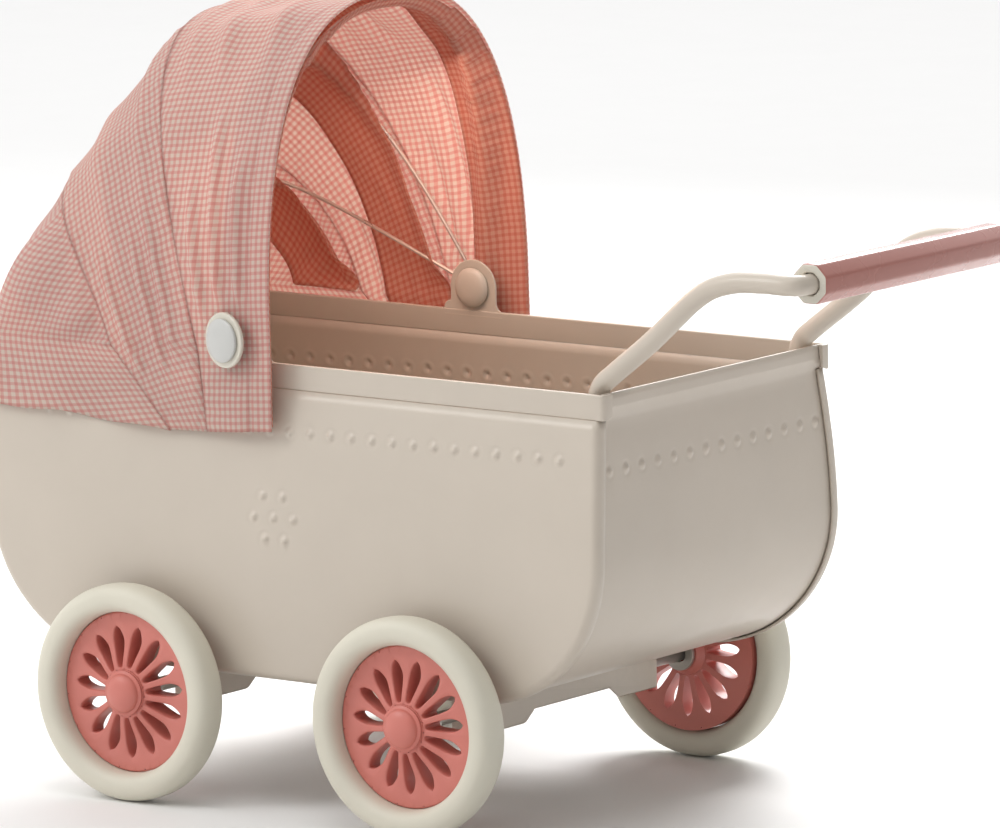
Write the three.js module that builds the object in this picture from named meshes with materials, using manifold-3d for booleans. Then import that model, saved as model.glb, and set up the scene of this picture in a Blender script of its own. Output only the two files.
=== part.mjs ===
// A small doll stroller: a pressed sheet-metal tub on two axles, four spoked
// wheels with soft tyres, a bent-rod handle with a free-turning grip, and a
// cloth hood carried by three wire bows that fold back about one rivet a side.
//
// Millimetres. +X runs from the hood end to the handle, +Y to the left side,
// +Z up. Shapes are laid out from the middle of the wheelbase at floor level,
// then the whole group is shifted so that the origin is under the middle of
// the overall length.

import * as THREE from 'three';
import { mergeVertices } from 'three/addons/utils/BufferGeometryUtils.js';
import Module from 'manifold-3d';

const wasm = await Module();
wasm.setup();

// ---------------------------------------------------------------- dimensions
const SHEET = 0.6; // thickness of the pressed metal
const GAP = 0.3; // clearance between pieces that touch
const FAR = 400; // longer than the whole object, for cutting blocks

// Tub
const RIM_Z = 101.8;
const FLOOR_Z = 29.6;
const RIM_HALF_WIDTH = 43.9; // outer face of the folded hem
const WALL_HALF_WIDTH = 43.3; // outer face of the wall at the rim
const BELLY = 4.3; // how far the side walls swell below the rim
const BELLY_Z = 57; // height of the widest point
const BELLY_TUCK = 0.9; // how far the walls draw in again at the floor
const END_X = 84.2; // outer face of the end walls at the rim
const END_SWELL = 2.0; // how far the end walls swell below it
const END_SWELL_Z = 64;
const CORNER_X = 36; // the round lower corners, as a quarter ellipse
const FLANGE = 3.2; // how far the side walls lap round onto the ends and floor
const HEM_HEIGHT = 5.7;
const HEM_LOW_Z = RIM_Z - HEM_HEIGHT;
const HEM_INNER_Y = RIM_HALF_WIDTH - 2 * SHEET;
const HEM_END_X = 86.2;
const STRIP_TOP_X = 85.0; // the end walls flare out to this at their top edge
const STRIP_FLARED_Z = 98.6;

// Wheels
const AXLE_X = 39.6; // half the wheelbase
const TYRE_RADIUS = 25;
const TYRE_INNER_RADIUS = 18.8;
const TYRE_WIDTH = 8.6;
const WHEEL_Y = 55.6; // middle plane of each tyre
const DISC_THICKNESS = 3;
const SLOT_COUNT = 15;
// One side of a slot, from the hub outward: [distance from the axle, half the slot's width].
const SLOT_HALF = [[5.8, 0], [6.2, 0.55], [8.5, 1.05], [11.5, 1.45], [13.2, 1.25], [14.5, 0.75], [15.2, 0]];
const HUB_RADIUS = 5.5;
const HUB_OUT = 1.5; // hub face, outward from the wheel's middle plane
const HUB_IN = 6;
const AXLE_RADIUS = 1.65;
const AXLE_HALF_LENGTH = 58.9;
const BORE_RADIUS = AXLE_RADIUS + GAP;

// Axle carriers, the folded channels under the tub
const CARRIER_HALF_WIDTH = 5;
const CARRIER_HALF_LENGTH = 33;
const CARRIER_LOW_Z = 20.2;
const CARRIER_MIDDLE_Z = 22.9;
const CARRIER_CHAMFER_Y = [14.5, 18.2];

// Handle
const ROD_RADIUS = 2.3;
const BAR_X = 136; // cross bar of the handle
const BAR_Z = 129.4;
const GRIP_HALF_LENGTH = 36;
const GRIP_RADIUS = 4.75;
const GRIP_BORE_RADIUS = 3.15;

// Hood
const PIVOT_X = -13.8;
const PIVOT_Z = 107.2;
const PIN_RADIUS = 1.3;
const EAR_RADIUS = 6.5;
const RIVET_HEAD_RADIUS = 4.6;
const BUTTON_RADIUS = 6.35;
const BUTTON_TILT = 12; // degrees that the button leans back with the cloth under it
const WIRE_RADIUS = 0.45;
const WIRE_START = 2.2; // the wire leaves its eyelet this far from the pivot
const EYE_RADIUS = 3;
const EYE_THICKNESS = 0.8;
// Each bow is a superellipse arch: 2 is an ellipse, and more is squarer.
const BOWS = {
  back: { layerY: 44.05, height: 67.2, angle: 157.9, exponent: 5.2 },
  middle: { layerY: 45.25, height: 72.7, angle: 123.3, exponent: 2.6 },
  mouth: { layerY: 46.45, height: 71.8, angle: 84.0, exponent: 2.3 },
};
const CLOTH = 1; // thickness of the cloth solids
const CLOTH_HALF_WIDTH = 48.6; // at the rivets
const FOOT_Z = 103; // the cloth hangs straight below this and arches above it
// Ribs of the cloth from the hood's mouth to its back, as [x, z] of the hem, of the
// foot of the arch and of the ridge. Half the width is given at the foot and the hem,
// and bow is how far the rib curves toward the mouth on its way up.
const RIBS = [
  { hem: [-2.4, 87.0], foot: [-2.2, FOOT_Z], ridge: [-3.7, 181.0], exponent: 2.6, bow: 0,
    halfWidth: 48.9, hemHalfWidth: 48.5 },
  { hem: [-21.6, 85.3], foot: [-23.4, FOOT_Z], ridge: [-51.0, 175.7], exponent: 2.35, bow: 2.1,
    halfWidth: 48.1, hemHalfWidth: 47.7 },
  { hem: [-32.6, 84.8], foot: [-49.5, FOOT_Z], ridge: [-76.0, 140.0], exponent: 3.6, bow: 3.5,
    halfWidth: 47.2, hemHalfWidth: 47.4 },
  { hem: [-87.4, 86.5], foot: [-87.4, FOOT_Z], ridge: [-87.4, FOOT_Z + 1.5], exponent: 10, bow: 0,
    halfWidth: 45.4, hemHalfWidth: 46.8 },
];
const HOOD_BACK_X = RIBS[3].foot[0];

const ORIGIN_X = (BAR_X + GRIP_RADIUS + HOOD_BACK_X) / 2;

// ----------------------------------------------------------------- materials
function material(color, roughness, metalness = 0) {
  return new THREE.MeshStandardMaterial({ color, roughness, metalness });
}

const paint = () => material(0xc8bfb0, 0.45, 0.1);
const steel = () => material(0x9c978c, 0.4, 0.8);
const tyreRubber = () => material(0xd8d4c4, 0.7);
const pinkPlastic = () => material(0xc87870, 0.45);
const creamPlastic = () => material(0xd8d0bc, 0.35);
const gripPlastic = () => material(0xa87068, 0.3);
const cloth = () => material(0xd8a098, 0.9);

// ------------------------------------------------------------ solid geometry
const stroller = new THREE.Group();
stroller.position.x = -ORIGIN_X;

function add(name, geometry, finish, parent = stroller) {
  const mesh = new THREE.Mesh(geometry, finish);
  mesh.name = name;
  parent.add(mesh);
  return mesh;
}

// Welds the vertices and turns the faces outward.
function closed(geometry) {
  const bare = geometry.clone();
  bare.deleteAttribute('normal');
  bare.deleteAttribute('uv');
  const welded = mergeVertices(bare, 1e-4);
  const place = welded.attributes.position;
  const index = Array.from(welded.index.array);
  const faces = [];
  let volume = 0;
  for (let i = 0; i < index.length; i += 3) {
    const [a, b, c] = index.slice(i, i + 3);
    if (a === b || b === c || c === a) continue;
    faces.push(a, b, c);
    const va = new THREE.Vector3().fromBufferAttribute(place, a);
    const vb = new THREE.Vector3().fromBufferAttribute(place, b);
    const vc = new THREE.Vector3().fromBufferAttribute(place, c);
    volume += va.dot(vb.cross(vc));
  }
  welded.setIndex(volume < 0 ? faces.reverse() : faces);
  return welded;
}

function toSolid(geometry) {
  const welded = closed(geometry);
  return new wasm.Manifold(new wasm.Mesh({
    numProp: 3,
    vertProperties: new Float32Array(welded.attributes.position.array),
    triVerts: new Uint32Array(welded.index.array),
  }));
}

function toGeometry(solid) {
  const mesh = solid.getMesh();
  const geometry = new THREE.BufferGeometry();
  geometry.setAttribute('position', new THREE.Float32BufferAttribute(mesh.vertProperties, 3));
  geometry.setIndex(Array.from(mesh.triVerts));
  return geometry;
}

function shapeOf(points) {
  return new THREE.Shape(points.map(([u, v]) => new THREE.Vector2(u, v)));
}

const X_AXIS = new THREE.Vector3(1, 0, 0);
const Y_AXIS = new THREE.Vector3(0, 1, 0);
const Z_AXIS = new THREE.Vector3(0, 0, 1);

// A shape drawn in X and Z, filling y = low to y = high.
function extrudeAlongY(shape, low, high, curveSegments = 12) {
  const geometry = new THREE.ExtrudeGeometry(shape, {
    depth: high - low, bevelEnabled: false, curveSegments,
  });
  geometry.applyMatrix4(new THREE.Matrix4().makeBasis(X_AXIS, Z_AXIS, Y_AXIS.clone().negate()));
  return geometry.translate(0, high, 0);
}

// A shape drawn in Y and Z, filling x = low to x = high.
function extrudeAlongX(shape, low, high) {
  const geometry = new THREE.ExtrudeGeometry(shape, { depth: high - low, bevelEnabled: false });
  geometry.applyMatrix4(new THREE.Matrix4().makeBasis(Y_AXIS, Z_AXIS, X_AXIS));
  return geometry.translate(low, 0, 0);
}

function block(x0, x1, y0, y1, z0, z1) {
  const box = new THREE.BoxGeometry(x1 - x0, y1 - y0, z1 - z0);
  return box.translate((x0 + x1) / 2, (y0 + y1) / 2, (z0 + z1) / 2);
}

// A closed profile of [radius, y] points turned about the Y axis.
function turned(profile, segments) {
  const points = [...profile, profile[0]].map(([r, y]) => new THREE.Vector2(r, y));
  return closed(new THREE.LatheGeometry(points, segments));
}

function ring(inner, outer, y0, y1, segments) {
  return turned([[inner, y0], [outer, y0], [outer, y1], [inner, y1]], segments);
}

function rodAlongY(radius, y0, y1, segments) {
  const rod = new THREE.CylinderGeometry(radius, radius, y1 - y0, segments);
  return rod.translate(0, (y0 + y1) / 2, 0);
}

function tubeAlong(path, radius, sides, steps) {
  const section = new THREE.Shape();
  for (let i = 0; i < sides; i++) {
    const turn = (i / sides) * 2 * Math.PI;
    const point = [radius * Math.cos(turn), radius * Math.sin(turn)];
    if (i === 0) section.moveTo(...point);
    else section.lineTo(...point);
  }
  return closed(new THREE.ExtrudeGeometry(section, { steps, extrudePath: path, bevelEnabled: false }));
}

function mirrored(geometry) {
  return closed(geometry.clone().scale(1, -1, 1));
}

// ----------------------------------------------------------------- the tub
const quarterCosine = (share) => Math.cos((Math.PI / 2) * share);

// Half the tub's width at a height, to the outer face.
function halfWidthAt(z) {
  const widest = WALL_HALF_WIDTH + BELLY;
  if (z < BELLY_Z) return widest - BELLY_TUCK * ((BELLY_Z - z) / (BELLY_Z - FLOOR_Z)) ** 2;
  return WALL_HALF_WIDTH + BELLY * quarterCosine((z - BELLY_Z) / (RIM_Z - BELLY_Z));
}

// Half the tub's length at a height above its round lower corners.
function halfLengthAt(z) {
  return END_X + END_SWELL * quarterCosine((z - END_SWELL_Z) / (RIM_Z - END_SWELL_Z));
}

// The tub's side view set inward all round, closed at the height top.
function sideView(inset, top) {
  const right = [[halfLengthAt(RIM_Z) - inset, top]];
  const upperSteps = 6;
  for (let i = 0; i < upperSteps; i++) {
    const z = RIM_Z + ((END_SWELL_Z - RIM_Z) * i) / upperSteps;
    right.push([halfLengthAt(z) - inset, z - 0.01]);
  }
  const cornerSteps = 9;
  for (let i = 0; i <= cornerSteps; i++) {
    const turn = (Math.PI / 2) * (i / cornerSteps);
    right.push([
      END_X + END_SWELL - CORNER_X + (CORNER_X - inset) * Math.cos(turn),
      END_SWELL_Z - (END_SWELL_Z - FLOOR_Z - inset) * Math.sin(turn),
    ]);
  }
  const left = right.map(([x, z]) => [-x, z]).reverse();
  return shapeOf([...right, ...left]);
}

// The tub's end view, with its side walls set inward, from below its floor to top.
function endView(inset, top) {
  const right = [[halfWidthAt(RIM_Z) - inset, top]];
  const steps = 10;
  for (let i = 0; i <= steps; i++) {
    const z = RIM_Z + ((FLOOR_Z - RIM_Z) * i) / steps;
    right.push([halfWidthAt(z) - inset, z]);
  }
  right.push([halfWidthAt(FLOOR_Z) - inset, FLOOR_Z - 5]);
  const left = right.map(([y, z]) => [-y, z]).reverse();
  return shapeOf([...right, ...left]);
}

// The tub filled solid, set inward and standing to the height top.
function tubBlock(inset, top) {
  const profile = toSolid(extrudeAlongY(sideView(inset, top), -60, 60));
  return profile.intersect(toSolid(extrudeAlongX(endView(inset, top), -FAR / 4, FAR / 4)));
}

// Ear that carries the hood's rivet, standing on the rim.
function earShape() {
  const halfWidth = EAR_RADIUS;
  const ear = new THREE.Shape();
  ear.moveTo(PIVOT_X - halfWidth - 2, HEM_LOW_Z);
  ear.lineTo(PIVOT_X + halfWidth + 2, HEM_LOW_Z);
  ear.lineTo(PIVOT_X + halfWidth + 2, RIM_Z);
  ear.quadraticCurveTo(PIVOT_X + halfWidth, RIM_Z, PIVOT_X + halfWidth, RIM_Z + 2);
  ear.lineTo(PIVOT_X + halfWidth, PIVOT_Z);
  ear.absarc(PIVOT_X, PIVOT_Z, halfWidth, 0, Math.PI, false);
  ear.lineTo(PIVOT_X - halfWidth, RIM_Z + 2);
  ear.quadraticCurveTo(PIVOT_X - halfWidth, RIM_Z, PIVOT_X - halfWidth - 2, RIM_Z);
  const hole = new THREE.Path();
  hole.absarc(PIVOT_X, PIVOT_Z, PIN_RADIUS + GAP, 0, 2 * Math.PI, true);
  ear.holes.push(hole);
  return ear;
}

function tubSide() {
  const shell = tubBlock(0, RIM_Z).subtract(tubBlock(SHEET, RIM_Z + 1));
  const middle = toSolid(extrudeAlongX(endView(FLANGE, RIM_Z + 1), -FAR / 4, FAR / 4));
  const oneSide = toSolid(block(-FAR, FAR, 0, FAR, 0, FAR));
  const room = toSolid(block(-FAR, FAR, 0, HEM_INNER_Y, HEM_LOW_Z, FAR));
  const hem = block(-HEM_END_X, HEM_END_X, HEM_INNER_Y, RIM_HALF_WIDTH, HEM_LOW_Z, RIM_Z);
  const ear = extrudeAlongY(earShape(), HEM_INNER_Y, HEM_INNER_Y + SHEET, 5);
  let side = shell.subtract(middle).intersect(oneSide).subtract(room);
  side = side.add(toSolid(hem)).add(toSolid(ear));
  for (const end of [-1, 1]) {
    const near = end * (HEM_END_X - SHEET);
    const far = end * HEM_END_X;
    const lap = block(Math.min(near, far), Math.max(near, far), RIM_HALF_WIDTH - FLANGE,
      RIM_HALF_WIDTH, HEM_LOW_Z, RIM_Z);
    side = side.add(toSolid(lap));
  }
  return toGeometry(side);
}

// One strip of sheet forms both end walls and the floor, inside the side walls' flanges.
function tubStrip() {
  const outside = SHEET + GAP;
  const inside = outside + SHEET;
  const wide = toSolid(extrudeAlongX(endView(outside, RIM_Z), -FAR / 4, FAR / 4));
  const full = toSolid(extrudeAlongY(sideView(outside, RIM_Z), -60, 60));
  const hollow = toSolid(extrudeAlongY(sideView(inside, RIM_Z + 1), -60, 60));
  const lower = toSolid(block(-FAR, FAR, -FAR, FAR, 0, HEM_LOW_Z - GAP));
  let strip = full.subtract(hollow).intersect(wide).intersect(lower);
  const flareHalfWidth = HEM_INNER_Y - GAP;
  for (const end of [-1, 1]) {
    const low = HEM_LOW_Z - 1;
    const start = halfLengthAt(low) - outside;
    const flare = shapeOf([
      [start, low], [start, HEM_LOW_Z], [STRIP_TOP_X, STRIP_FLARED_Z], [STRIP_TOP_X, RIM_Z],
      [STRIP_TOP_X - SHEET, RIM_Z], [STRIP_TOP_X - SHEET, STRIP_FLARED_Z],
      [start - SHEET, HEM_LOW_Z], [start - SHEET, low],
    ].map(([x, z]) => [end * x, z]));
    strip = strip.add(toSolid(extrudeAlongY(flare, -flareHalfWidth, flareHalfWidth)));
  }
  return toGeometry(strip);
}

function buildTub() {
  const side = tubSide();
  add('tub_side_left', side, paint());
  add('tub_side_right', mirrored(side), paint());
  add('tub_strip', tubStrip(), paint());
}

// ------------------------------------------------------- axles and wheels
function carrier() {
  const top = FLOOR_Z + SHEET;
  const [shallowY, deepY] = CARRIER_CHAMFER_Y;
  const end = CARRIER_HALF_LENGTH;
  const cheek = shapeOf([
    [-end, top], [-end, CARRIER_LOW_Z], [-deepY, CARRIER_LOW_Z], [-shallowY, CARRIER_MIDDLE_Z],
    [shallowY, CARRIER_MIDDLE_Z], [deepY, CARRIER_LOW_Z], [end, CARRIER_LOW_Z], [end, top],
  ]);
  const width = CARRIER_HALF_WIDTH;
  const inner = width - SHEET;
  const hollow = block(-inner, inner, SHEET - end, end - SHEET, 0, top - SHEET);
  const bore = rodAlongY(BORE_RADIUS, -60, 60, 16).translate(0, 0, TYRE_RADIUS);
  const body = toSolid(extrudeAlongX(cheek, -width, width));
  return toGeometry(body.subtract(toSolid(hollow)).subtract(toSolid(bore)));
}

// A leaf-shaped opening between two spokes, pointing along +X before it is turned.
function slotPath(turn) {
  const farSide = SLOT_HALF.slice(1, -1).map(([u, v]) => [u, -v]).reverse();
  const centre = new THREE.Vector2();
  const outline = [...SLOT_HALF, ...farSide];
  return new THREE.Path(outline.map(([u, v]) => new THREE.Vector2(u, v).rotateAround(centre, turn)));
}

// Spoked disc with its hub; outward is the side away from the tub, +1 or -1.
function wheelDisc(outward) {
  const disc = new THREE.Shape();
  disc.absarc(0, 0, TYRE_INNER_RADIUS - GAP, 0, 2 * Math.PI, false);
  for (let i = 0; i < SLOT_COUNT; i++) disc.holes.push(slotPath((i / SLOT_COUNT) * 2 * Math.PI));
  const plate = toSolid(extrudeAlongY(disc, -DISC_THICKNESS, 0, 24));
  const hub = toSolid(rodAlongY(HUB_RADIUS, -HUB_IN, HUB_OUT, 16));
  const bore = toSolid(rodAlongY(BORE_RADIUS, -HUB_IN - 1, HUB_OUT + 1, 12));
  const wheel = toGeometry(plate.add(hub).subtract(bore));
  return outward > 0 ? wheel : mirrored(wheel);
}

function tyre() {
  const middle = (TYRE_RADIUS + TYRE_INNER_RADIUS) / 2;
  const rise = (TYRE_RADIUS - TYRE_INNER_RADIUS) / 2;
  const profile = [];
  const steps = 8;
  for (let i = 0; i < steps; i++) {
    const turn = (i / steps) * 2 * Math.PI;
    profile.push([middle + rise * Math.cos(turn), (TYRE_WIDTH / 2) * Math.sin(turn)]);
  }
  return turned(profile, 32);
}

// Acorn cap pushed on the axle's end, its mouth toward the wheel.
function hubCap(outward) {
  const mouth = HUB_OUT + GAP;
  const bore = AXLE_RADIUS + GAP;
  const cap = turned([
    [bore, mouth], [5.3, mouth], [5.3, mouth + 0.7], [4.6, mouth + 0.8], [3.9, mouth + 2.0],
    [2.2, mouth + 2.6], [0, mouth + 2.8], [0, mouth + 1.8], [bore, mouth + 1.8],
  ], 14);
  return outward > 0 ? cap : mirrored(cap);
}

function buildRunningGear() {
  for (const [end, axleX] of [['front', -AXLE_X], ['rear', AXLE_X]]) {
    add(`axle_carrier_${end}`, carrier(), paint()).position.x = axleX;
    const axle = closed(rodAlongY(AXLE_RADIUS, -AXLE_HALF_LENGTH, AXLE_HALF_LENGTH, 12));
    add(`axle_${end}`, axle, steel()).position.set(axleX, 0, TYRE_RADIUS);
    for (const [side, outward] of [['left', 1], ['right', -1]]) {
      const corner = new THREE.Group();
      corner.position.set(axleX, outward * WHEEL_Y, TYRE_RADIUS);
      stroller.add(corner);
      add(`wheel_${end}_${side}`, wheelDisc(outward), pinkPlastic(), corner);
      add(`tyre_${end}_${side}`, tyre(), tyreRubber(), corner);
      add(`hub_cap_${end}_${side}`, hubCap(outward), pinkPlastic(), corner);
      const washer = ring(BORE_RADIUS, 4, -0.5, 0.5, 16);
      const washerY = -outward * (HUB_IN + GAP + 0.5);
      add(`axle_washer_${end}_${side}`, washer, steel(), corner).position.y = washerY;
    }
  }
}

// ---------------------------------------------------------------- handle
function handlePath() {
  const armY = 38.8;
  const splayY = 40.4;
  const arm = [
    [80.2, armY, 66], [80.2, armY, 80], [80.3, armY, 93], [80.7, armY, 99], [82.0, armY, 103],
    [85.4, armY, 106.0], [95.9, 39.2, 114.0], [109.0, 39.7, 125.0], [117.6, 40.0, 128.6],
    [126, 40.3, BAR_Z], [132.6, splayY, BAR_Z], [135.1, splayY - 1, BAR_Z],
    [BAR_X, splayY - 3.2, BAR_Z], [BAR_X, 34, BAR_Z], [BAR_X, 20, BAR_Z],
  ];
  const near = arm.map(([x, y, z]) => new THREE.Vector3(x, -y, z));
  const far = arm.map(([x, y, z]) => new THREE.Vector3(x, y, z)).reverse();
  return new THREE.CatmullRomCurve3([...near, ...far], false, 'centripetal');
}

function grip() {
  const sides = 8;
  const outline = [];
  for (let i = 0; i < sides; i++) {
    const turn = ((i + 0.5) / sides) * 2 * Math.PI;
    for (const lean of [-0.11, 0.11]) {
      outline.push([GRIP_RADIUS * Math.cos(turn + lean), GRIP_RADIUS * Math.sin(turn + lean)]);
    }
  }
  const shape = shapeOf(outline);
  const bore = new THREE.Path();
  bore.absarc(0, 0, GRIP_BORE_RADIUS, 0, 2 * Math.PI, true);
  shape.holes.push(bore);
  return closed(extrudeAlongY(shape, -GRIP_HALF_LENGTH, GRIP_HALF_LENGTH, 10));
}

function buildHandle() {
  add('handle_rod', tubeAlong(handlePath(), ROD_RADIUS, 8, 72), paint());
  add('handle_grip', grip(), gripPlastic()).position.set(BAR_X, 0, BAR_Z);
}

// ------------------------------------------------------------------ hood
// Half superellipse arch from rivet to rivet, leaning at an angle above +X.
class BowCurve extends THREE.Curve {
  constructor({ layerY, height, angle, exponent }) {
    super();
    this.layerY = layerY;
    this.height = height;
    this.lean = THREE.MathUtils.degToRad(angle);
    this.power = 2 / exponent;
    this.start = Math.asin((WIRE_START / height) ** (exponent / 2));
  }

  getPoint(t) {
    const turn = this.start + (Math.PI - 2 * this.start) * t;
    const across = -Math.sign(Math.cos(turn)) * Math.abs(Math.cos(turn)) ** this.power;
    const reach = this.height * Math.sin(turn) ** this.power;
    return new THREE.Vector3(
      PIVOT_X + reach * Math.cos(this.lean),
      this.layerY * across,
      PIVOT_Z + reach * Math.sin(this.lean),
    );
  }
}

function bow(sizes) {
  let wire = toSolid(tubeAlong(new BowCurve(sizes), WIRE_RADIUS, 6, 34));
  for (const side of [-1, 1]) {
    const middle = side * sizes.layerY;
    const eye = ring(PIN_RADIUS + GAP, EYE_RADIUS, middle - EYE_THICKNESS / 2,
      middle + EYE_THICKNESS / 2, 14);
    const hole = rodAlongY(PIN_RADIUS + GAP, middle - 2, middle + 2, 14);
    wire = wire.subtract(toSolid(hole.translate(PIVOT_X, 0, PIVOT_Z)));
    wire = wire.add(toSolid(eye.translate(PIVOT_X, 0, PIVOT_Z)));
  }
  return toGeometry(wire);
}

// Rivet with its domed head inside the tub, through ear, bows and cloth.
function rivet() {
  const headBase = HEM_INNER_Y - GAP;
  const tip = CLOTH_HALF_WIDTH + 3.5;
  const head = RIVET_HEAD_RADIUS;
  return turned([
    [0, headBase - 1.6], [head * 0.6, headBase - 1.3], [head * 0.9, headBase - 0.6],
    [head, headBase], [PIN_RADIUS, headBase], [PIN_RADIUS, tip], [0, tip],
  ], 16);
}

// The button's washer and cap, leaning back about the rivet with the cloth under them.
function tilted(geometry) {
  const tilt = THREE.MathUtils.degToRad(BUTTON_TILT);
  const lift = CLOTH_HALF_WIDTH + GAP + BUTTON_RADIUS * Math.sin(tilt);
  return closed(geometry.rotateZ(tilt).translate(0, lift, 0));
}

function buttonWasher() {
  return tilted(ring(PIN_RADIUS + 2 * GAP, BUTTON_RADIUS, 0, 1, 20));
}

function buttonCap() {
  const hole = PIN_RADIUS + 2.5 * GAP;
  return tilted(turned([
    [hole, 1.3], [5, 1.3], [5, 1.8], [4.2, 2.6], [2.4, 3.2], [0, 3.4], [0, 2.6], [hole, 2.6],
  ], 16));
}

function between(a, b, share) {
  if (Array.isArray(a)) return a.map((value, i) => between(value, b[i], share));
  return a + (b - a) * share;
}

// The rib at a place from 0, the mouth, to 3, the tub's end.
function ribAt(place) {
  const index = Math.min(Math.floor(place), RIBS.length - 2);
  const [a, b] = [RIBS[index], RIBS[index + 1]];
  const keys = Object.keys(a);
  return Object.fromEntries(keys.map((key) => [key, between(a[key], b[key], place - index)]));
}

// Points of one rib from the right hem over the ridge to the left hem.
function ribPoints(place, inset) {
  const rib = ribAt(place);
  const width = rib.halfWidth - inset;
  const backInset = Math.max(0, place - 2) * inset;
  const [ridgeX, ridgeZ] = [rib.ridge[0] + backInset, rib.ridge[1] - inset];
  const [footX, footZ] = [rib.foot[0] + backInset, rib.foot[1]];
  const half = [[rib.hem[0] + backInset, rib.hemHalfWidth - inset, rib.hem[1]]];
  const steps = 9;
  for (let i = 0; i <= steps; i++) {
    const turn = (Math.PI / 2) * (i / steps);
    const up = Math.sin(turn) ** (2 / rib.exponent);
    const out = Math.max(0, Math.cos(turn)) ** (2 / rib.exponent);
    const x = between(footX, ridgeX, up) + 4 * rib.bow * up * (1 - up);
    half.push([x, width * out, between(footZ, ridgeZ, up)]);
  }
  const right = half.map(([x, y, z]) => new THREE.Vector3(x, -y, z));
  const left = half.slice(0, -1).reverse().map(([x, y, z]) => new THREE.Vector3(x, y, z));
  return [...right, ...left];
}

// A closed slab between two grids of points that share one layout.
function slab(outer, inner) {
  const rows = outer.length;
  const columns = outer[0].length;
  const positions = [];
  for (const grid of [outer, inner]) {
    for (const row of grid) row.forEach((point) => positions.push(point.x, point.y, point.z));
  }
  const at = (layer, row, column) => (layer * rows + row) * columns + column;
  const faces = [];
  const quad = (a, b, c, d) => faces.push(a, b, c, a, c, d);
  for (let r = 0; r + 1 < rows; r++) {
    for (let c = 0; c + 1 < columns; c++) {
      quad(at(0, r, c), at(0, r + 1, c), at(0, r + 1, c + 1), at(0, r, c + 1));
      quad(at(1, r, c), at(1, r, c + 1), at(1, r + 1, c + 1), at(1, r + 1, c));
    }
  }
  for (let r = 0; r + 1 < rows; r++) {
    const last = columns - 1;
    quad(at(0, r, 0), at(1, r, 0), at(1, r + 1, 0), at(0, r + 1, 0));
    quad(at(0, r, last), at(0, r + 1, last), at(1, r + 1, last), at(1, r, last));
  }
  for (let c = 0; c + 1 < columns; c++) {
    const last = rows - 1;
    quad(at(0, 0, c), at(0, 0, c + 1), at(1, 0, c + 1), at(1, 0, c));
    quad(at(0, last, c), at(1, last, c), at(1, last, c + 1), at(0, last, c + 1));
  }
  const geometry = new THREE.BufferGeometry();
  geometry.setAttribute('position', new THREE.Float32BufferAttribute(positions, 3));
  geometry.setIndex(faces);
  return closed(geometry);
}

function clothPanel(from, to, rows) {
  const places = Array.from({ length: rows + 1 }, (_, i) => from + ((to - from) * i) / rows);
  return slab(places.map((s) => ribPoints(s, 0)), places.map((s) => ribPoints(s, CLOTH)));
}

function buildHood() {
  for (const [name, sizes] of Object.entries(BOWS)) add(`hood_bow_${name}`, bow(sizes), steel());
  const mirror = { left: (shape) => shape, right: mirrored };
  for (const [side, flip] of Object.entries(mirror)) {
    for (const [name, shape, finish] of [
      ['hood_rivet', rivet(), paint()],
      ['button_ring', buttonWasher(), creamPlastic()],
      ['button_cap', buttonCap(), creamPlastic()],
    ]) add(`${name}_${side}`, flip(shape), finish).position.set(PIVOT_X, 0, PIVOT_Z);
  }
  const seam = 0.012;
  const rivetHole = rodAlongY(PIN_RADIUS + 2 * GAP, -60, 60, 12).translate(PIVOT_X, 0, PIVOT_Z);
  const mouth = toSolid(clothPanel(0, 1 - seam, 3)).subtract(toSolid(rivetHole));
  add('hood_cloth_mouth', toGeometry(mouth), cloth());
  add('hood_cloth_middle', clothPanel(1 + seam, 2 - seam, 3), cloth());
  add('hood_cloth_back', clothPanel(2 + seam, 3, 4), cloth());
  const skirtHalfWidth = RIBS[3].halfWidth - CLOTH - GAP;
  const skirt = block(HOOD_BACK_X, HOOD_BACK_X + CLOTH, -skirtHalfWidth, skirtHalfWidth,
    RIBS[3].hem[1], FOOT_Z - GAP);
  add('hood_cloth_skirt', skirt, cloth());
}

buildTub();
buildRunningGear();
buildHandle();
buildHood();

export default stroller;
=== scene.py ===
"""The doll stroller's looks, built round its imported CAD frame.

Lengths here are millimetres, laid out like the CAD: x from the middle of the
wheelbase toward the handle, y to the left side, z up from the floor. place()
turns them into the frame's metres.
"""

import math

import bmesh
import bpy
import numpy as np
from mathutils import Matrix, Vector


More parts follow.
